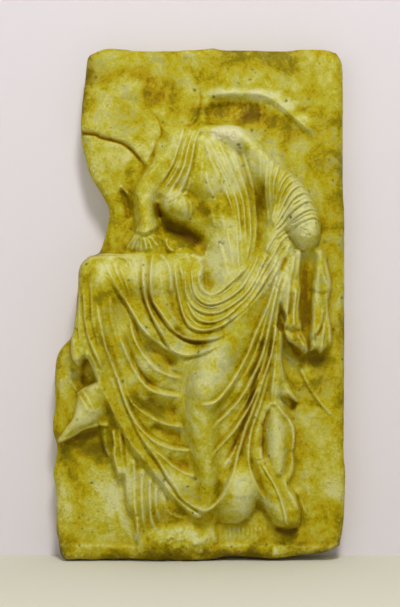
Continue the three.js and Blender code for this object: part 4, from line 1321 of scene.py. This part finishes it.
# Where each thing starts to show, and where it is full
marbleBand = {
    "greyMottle": (0.47, 0.64),
    "greyStain": (0.43, 0.58),
    "greyUnderDirtAndShade": (0.25, 0.75),
    "washOfDirtAndShade": (0.0, 0.56),
    "deepDirtAndShade": (0.42, 1.0),
    "worn": (0.08, 0.5),
    "fresh": (1.0, 1.7),
    "pores": (0.05, 0.24),
    "poreMottle": (0.49, 0.6),
    "veins": (0.0, 0.012),
    "veinPatches": (0.52, 0.62),
}


def filmColour(finish, seen):
    # cream stone under a yellow film that gathers in patches, with grey-green where the film is thin; the
    # film thickens in hollows and painted dark places, which adds painted shade, and thins where highlights
    # are painted
    share, band = marbleShare, marbleBand
    film = (share["base"] + share["patches"] * seen["patches"] + share["mottle"] * seen["mottle"]
            - share["edge"] * seen["edge"] + share["stain"] * (seen["stain"] - 0.5)
            - share["dirtAndPaintedLight"] * seen["dirtAndPaintedLight"] + share["grain"] * (seen["grain"] - 0.5)
            - share["hollow"] * seen["hollow"])
    stops = [(position, marble[name]) for name, position in filmStops.items()]
    colour = finish.node("ShaderNodeValToRGB", {"stops": stops}, {0: film})
    grey = finish.between(seen["mottle"], *band["greyMottle"])
    grey = grey * finish.between(seen["stain"], *band["greyStain"])
    grey = grey * (1 - finish.between(seen["hollow"] + seen["dirtAndPaintedLight"], *band["greyUnderDirtAndShade"]))
    return finish.mix(grey * share["grey"], colour, marble["greyGreen"])


def weatheredColourWithPaintedLight(finish, seen, colour):
    # dirt, patina and painted shade in the hollows, pale crests that are worn and painted as highlights, and
    # places that broke later
    share, band = marbleShare, marbleBand
    # hollows and painted dark places drive the yellow and deep tints, so these carry painted shade
    uneven = seen["hollow"] + 0.6 * (seen["mottle"] - 0.5) + 0.35 * seen["dirtAndPaintedLight"]
    colour = finish.mix(finish.between(uneven, *band["washOfDirtAndShade"]), colour, marble["washOfDirtAndShade"], "MULTIPLY")
    # the deepest hollows and painted dark places get a darker tint, painted shade besides dirt
    colour = finish.mix(finish.between(uneven, *band["deepDirtAndShade"]), colour, marble["deepDirtAndShade"], "MULTIPLY")
    # crests paler where worn, and a painted highlight on them
    rubbedAndHighlit = seen["ridge"] + 0.6 * (seen["grain"] - 0.5) + 0.9 * (seen["patches"] - 0.5)
    colour = finish.mix(finish.between(rubbedAndHighlit, *band["worn"]) * share["worn"], colour, marble["worn"])
    broken = 1.8 * (seen["mottle"] - 0.5) + 0.8 * (seen["grain"] - 0.5) - seen["dirtAndPaintedLight"]
    return finish.mix(finish.between(broken, *band["fresh"]) * share["fresh"], colour, marble["fresh"])


def marbleFinish():
    finish = Finish("marble with patina and painted light")
    share, band = marbleShare, marbleBand
    coords = finish.node("ShaderNodeTexCoord", {}, {}, 3)
    seen = {name: finish.attribute(name) for name in ("hollow", "ridge", "dirtAndPaintedLight", "edge")}
    for name, settings in marbleNoise.items():
        seen[name] = finish.noise(coords, *settings)
    colour = weatheredColourWithPaintedLight(finish, seen, filmColour(finish, seen))
    # soot in the pores, and hair veins
    sockets = {"Vector": coords, "Scale": share["poreScale"]}
    cells = finish.node("ShaderNodeTexVoronoi", {"feature": "F1"}, sockets)
    pores = 1 - finish.between(cells + 0.25 * (seen["grain"] - 0.5), *band["pores"])
    pores = pores * finish.between(seen["mottle"], *band["poreMottle"])
    offVein = finish.combine("ABSOLUTE", seen["veins"] - 0.5)
    veins = 1 - finish.between(offVein, *band["veins"])
    veins = veins * finish.between(seen["patches"], *band["veinPatches"])
    colour = finish.mix(pores * share["pores"], colour, marble["spot"])
    colour = finish.mix(veins * share["veins"], colour, marble["spot"])
    uneven = seen["grain"] + 0.9 * seen["mottle"] - 0.8 * pores
    sockets = {"Strength": share["bump"], "Distance": share["bumpHigh"], "Height": uneven}
    bump = finish.node("ShaderNodeBump", {}, sockets)
    finish.set({"Base Color": colour, "Roughness": 0.5 + 0.2 * seen["mottle"], "Normal": bump})
    finish.set({"IOR": 1.45, "Specular IOR Level": share["shine"]})
    return finish.material


# Studio: pale shelf and wall, a soft key from above, a camera straight on

studio = {
    "floor": -0.3095,
    "wallGap": 0.003,
    "far": 3.0,             # half the width of the shelf and the wall, in metres
    "lens": 85.0,
    "sensor": 36.0,
    "frameHeight": 0.7284,
    "wall": tone(223, 216, 219),
    "opening": 6.0,         # the backdrop laps this far behind the plaque's edge, in mm
    "shelf": tone(216, 213, 194),
    "air": (0.97, 0.98, 1, 1),
    "airStrength": 0.34,
}

# place, size, power and colour of each light; all of them point at the middle of the plaque's back
lights = {
    "key": ((0.25, -1.9, 2.1), 0.6, 53, (0.98, 0.98, 1)),
    "fill": ((-1.2, -2.4, 0.3), 1.8, 7, (1, 1, 1)),
    "rear": ((-1.4, 2.2, 1.4), 1.5, 40, (1, 1, 1)),
}


def stageSurface(name, corners, faces, colour):
    mesh = bpy.data.meshes.new(name)
    mesh.from_pydata(corners, [], faces)
    made = bpy.data.objects.new(name, mesh)
    bpy.context.scene.collection.objects.link(made)
    finish = Finish(name)
    finish.set({"Base Color": colour, "Roughness": 0.9})
    mesh.materials.append(finish.material)
    return finish


def backdrop(back):
    # a wall with an opening behind the plaque, so that light reaches the plaque's back
    around = np.vstack([throughPoints(side, 6)[:-1] for side in
                        (leftEdge, topEdge, rightEdge[::-1], bottomEdge[::-1])])
    tangent = np.roll(around, -1, 0) - np.roll(around, 1, 0)
    tangent /= np.linalg.norm(tangent, axis=1)[:, None]
    inner = (around + studio["opening"] * np.stack([tangent[:, 1], -tangent[:, 0]], 1)) * mm
    outer = inner * (studio["far"] / np.abs(inner).max(1))[:, None]
    count = len(inner)
    corners = [(x, back, z) for x, z in np.vstack([inner, outer]).tolist()]
    return corners, [(i, (i + 1) % count, (i + 1) % count + count, i + count) for i in range(count)]


def areaLight(name, place, size, power, colour):
    data = bpy.data.lights.new(name, "AREA")
    data.shape = "DISK"
    data.size = size
    data.energy = power
    data.color = colour
    made = bpy.data.objects.new(name, data)
    made.location = place
    made.rotation_euler = (-Vector(place)).to_track_quat("-Z", "Y").to_euler()
    bpy.context.scene.collection.objects.link(made)


def buildStudio():
    z, back, far = studio["floor"], studio["wallGap"], studio["far"]
    corners = [(-far, -far, z), (far, -far, z), (far, back, z), (-far, back, z)]
    stageSurface("studio_floor", corners, [(0, 1, 2, 3)], studio["shelf"])
    corners, faces = backdrop(back)
    finish = stageSurface("studio_backdrop", corners, faces, studio["wall"])
    # the backdrop is one-sided, so the plaque's back can be looked at
    hidden = finish.node("ShaderNodeBsdfTransparent")
    rear = finish.node("ShaderNodeNewGeometry", {}, {}, 6)
    shown = Value(finish, finish.surface.outputs[0])
    mixed = finish.node("ShaderNodeMixShader", {}, {0: rear, 1: shown, 2: hidden})
    finish.plug(finish.tree.nodes["Material Output"].inputs["Surface"], mixed)
    for name, settings in lights.items():
        areaLight(name, *settings)
    world = bpy.data.worlds.new("studio_air")
    bpy.context.scene.world = world
    world.use_nodes = True
    sky = world.node_tree.nodes["Background"]
    sky.inputs["Color"].default_value = studio["air"]
    sky.inputs["Strength"].default_value = studio["airStrength"]
    bpy.context.scene.view_settings.view_transform = "Standard"


def buildCamera():
    data = bpy.data.cameras.new("camera")
    data.lens = studio["lens"]
    data.sensor_width = studio["sensor"]
    half = data.sensor_width / 2 / data.lens
    made = bpy.data.objects.new("camera", data)
    made.location = (0, -(slab["thickness"] * mm + studio["frameHeight"] / 2 / half), 0)
    made.rotation_euler = (math.pi / 2, 0, 0)
    bpy.context.scene.collection.objects.link(made)
    bpy.context.scene.camera = made


buildCamera()
inward = carve()
plaque = buildPlaque()
paintPatinaAndLight(plaque, inward)
plaque.data.materials.clear()
plaque.data.materials.append(marbleFinish())
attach(plaque, "root")
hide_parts(plaqueNode)
buildStudio()
stage("scene ready")
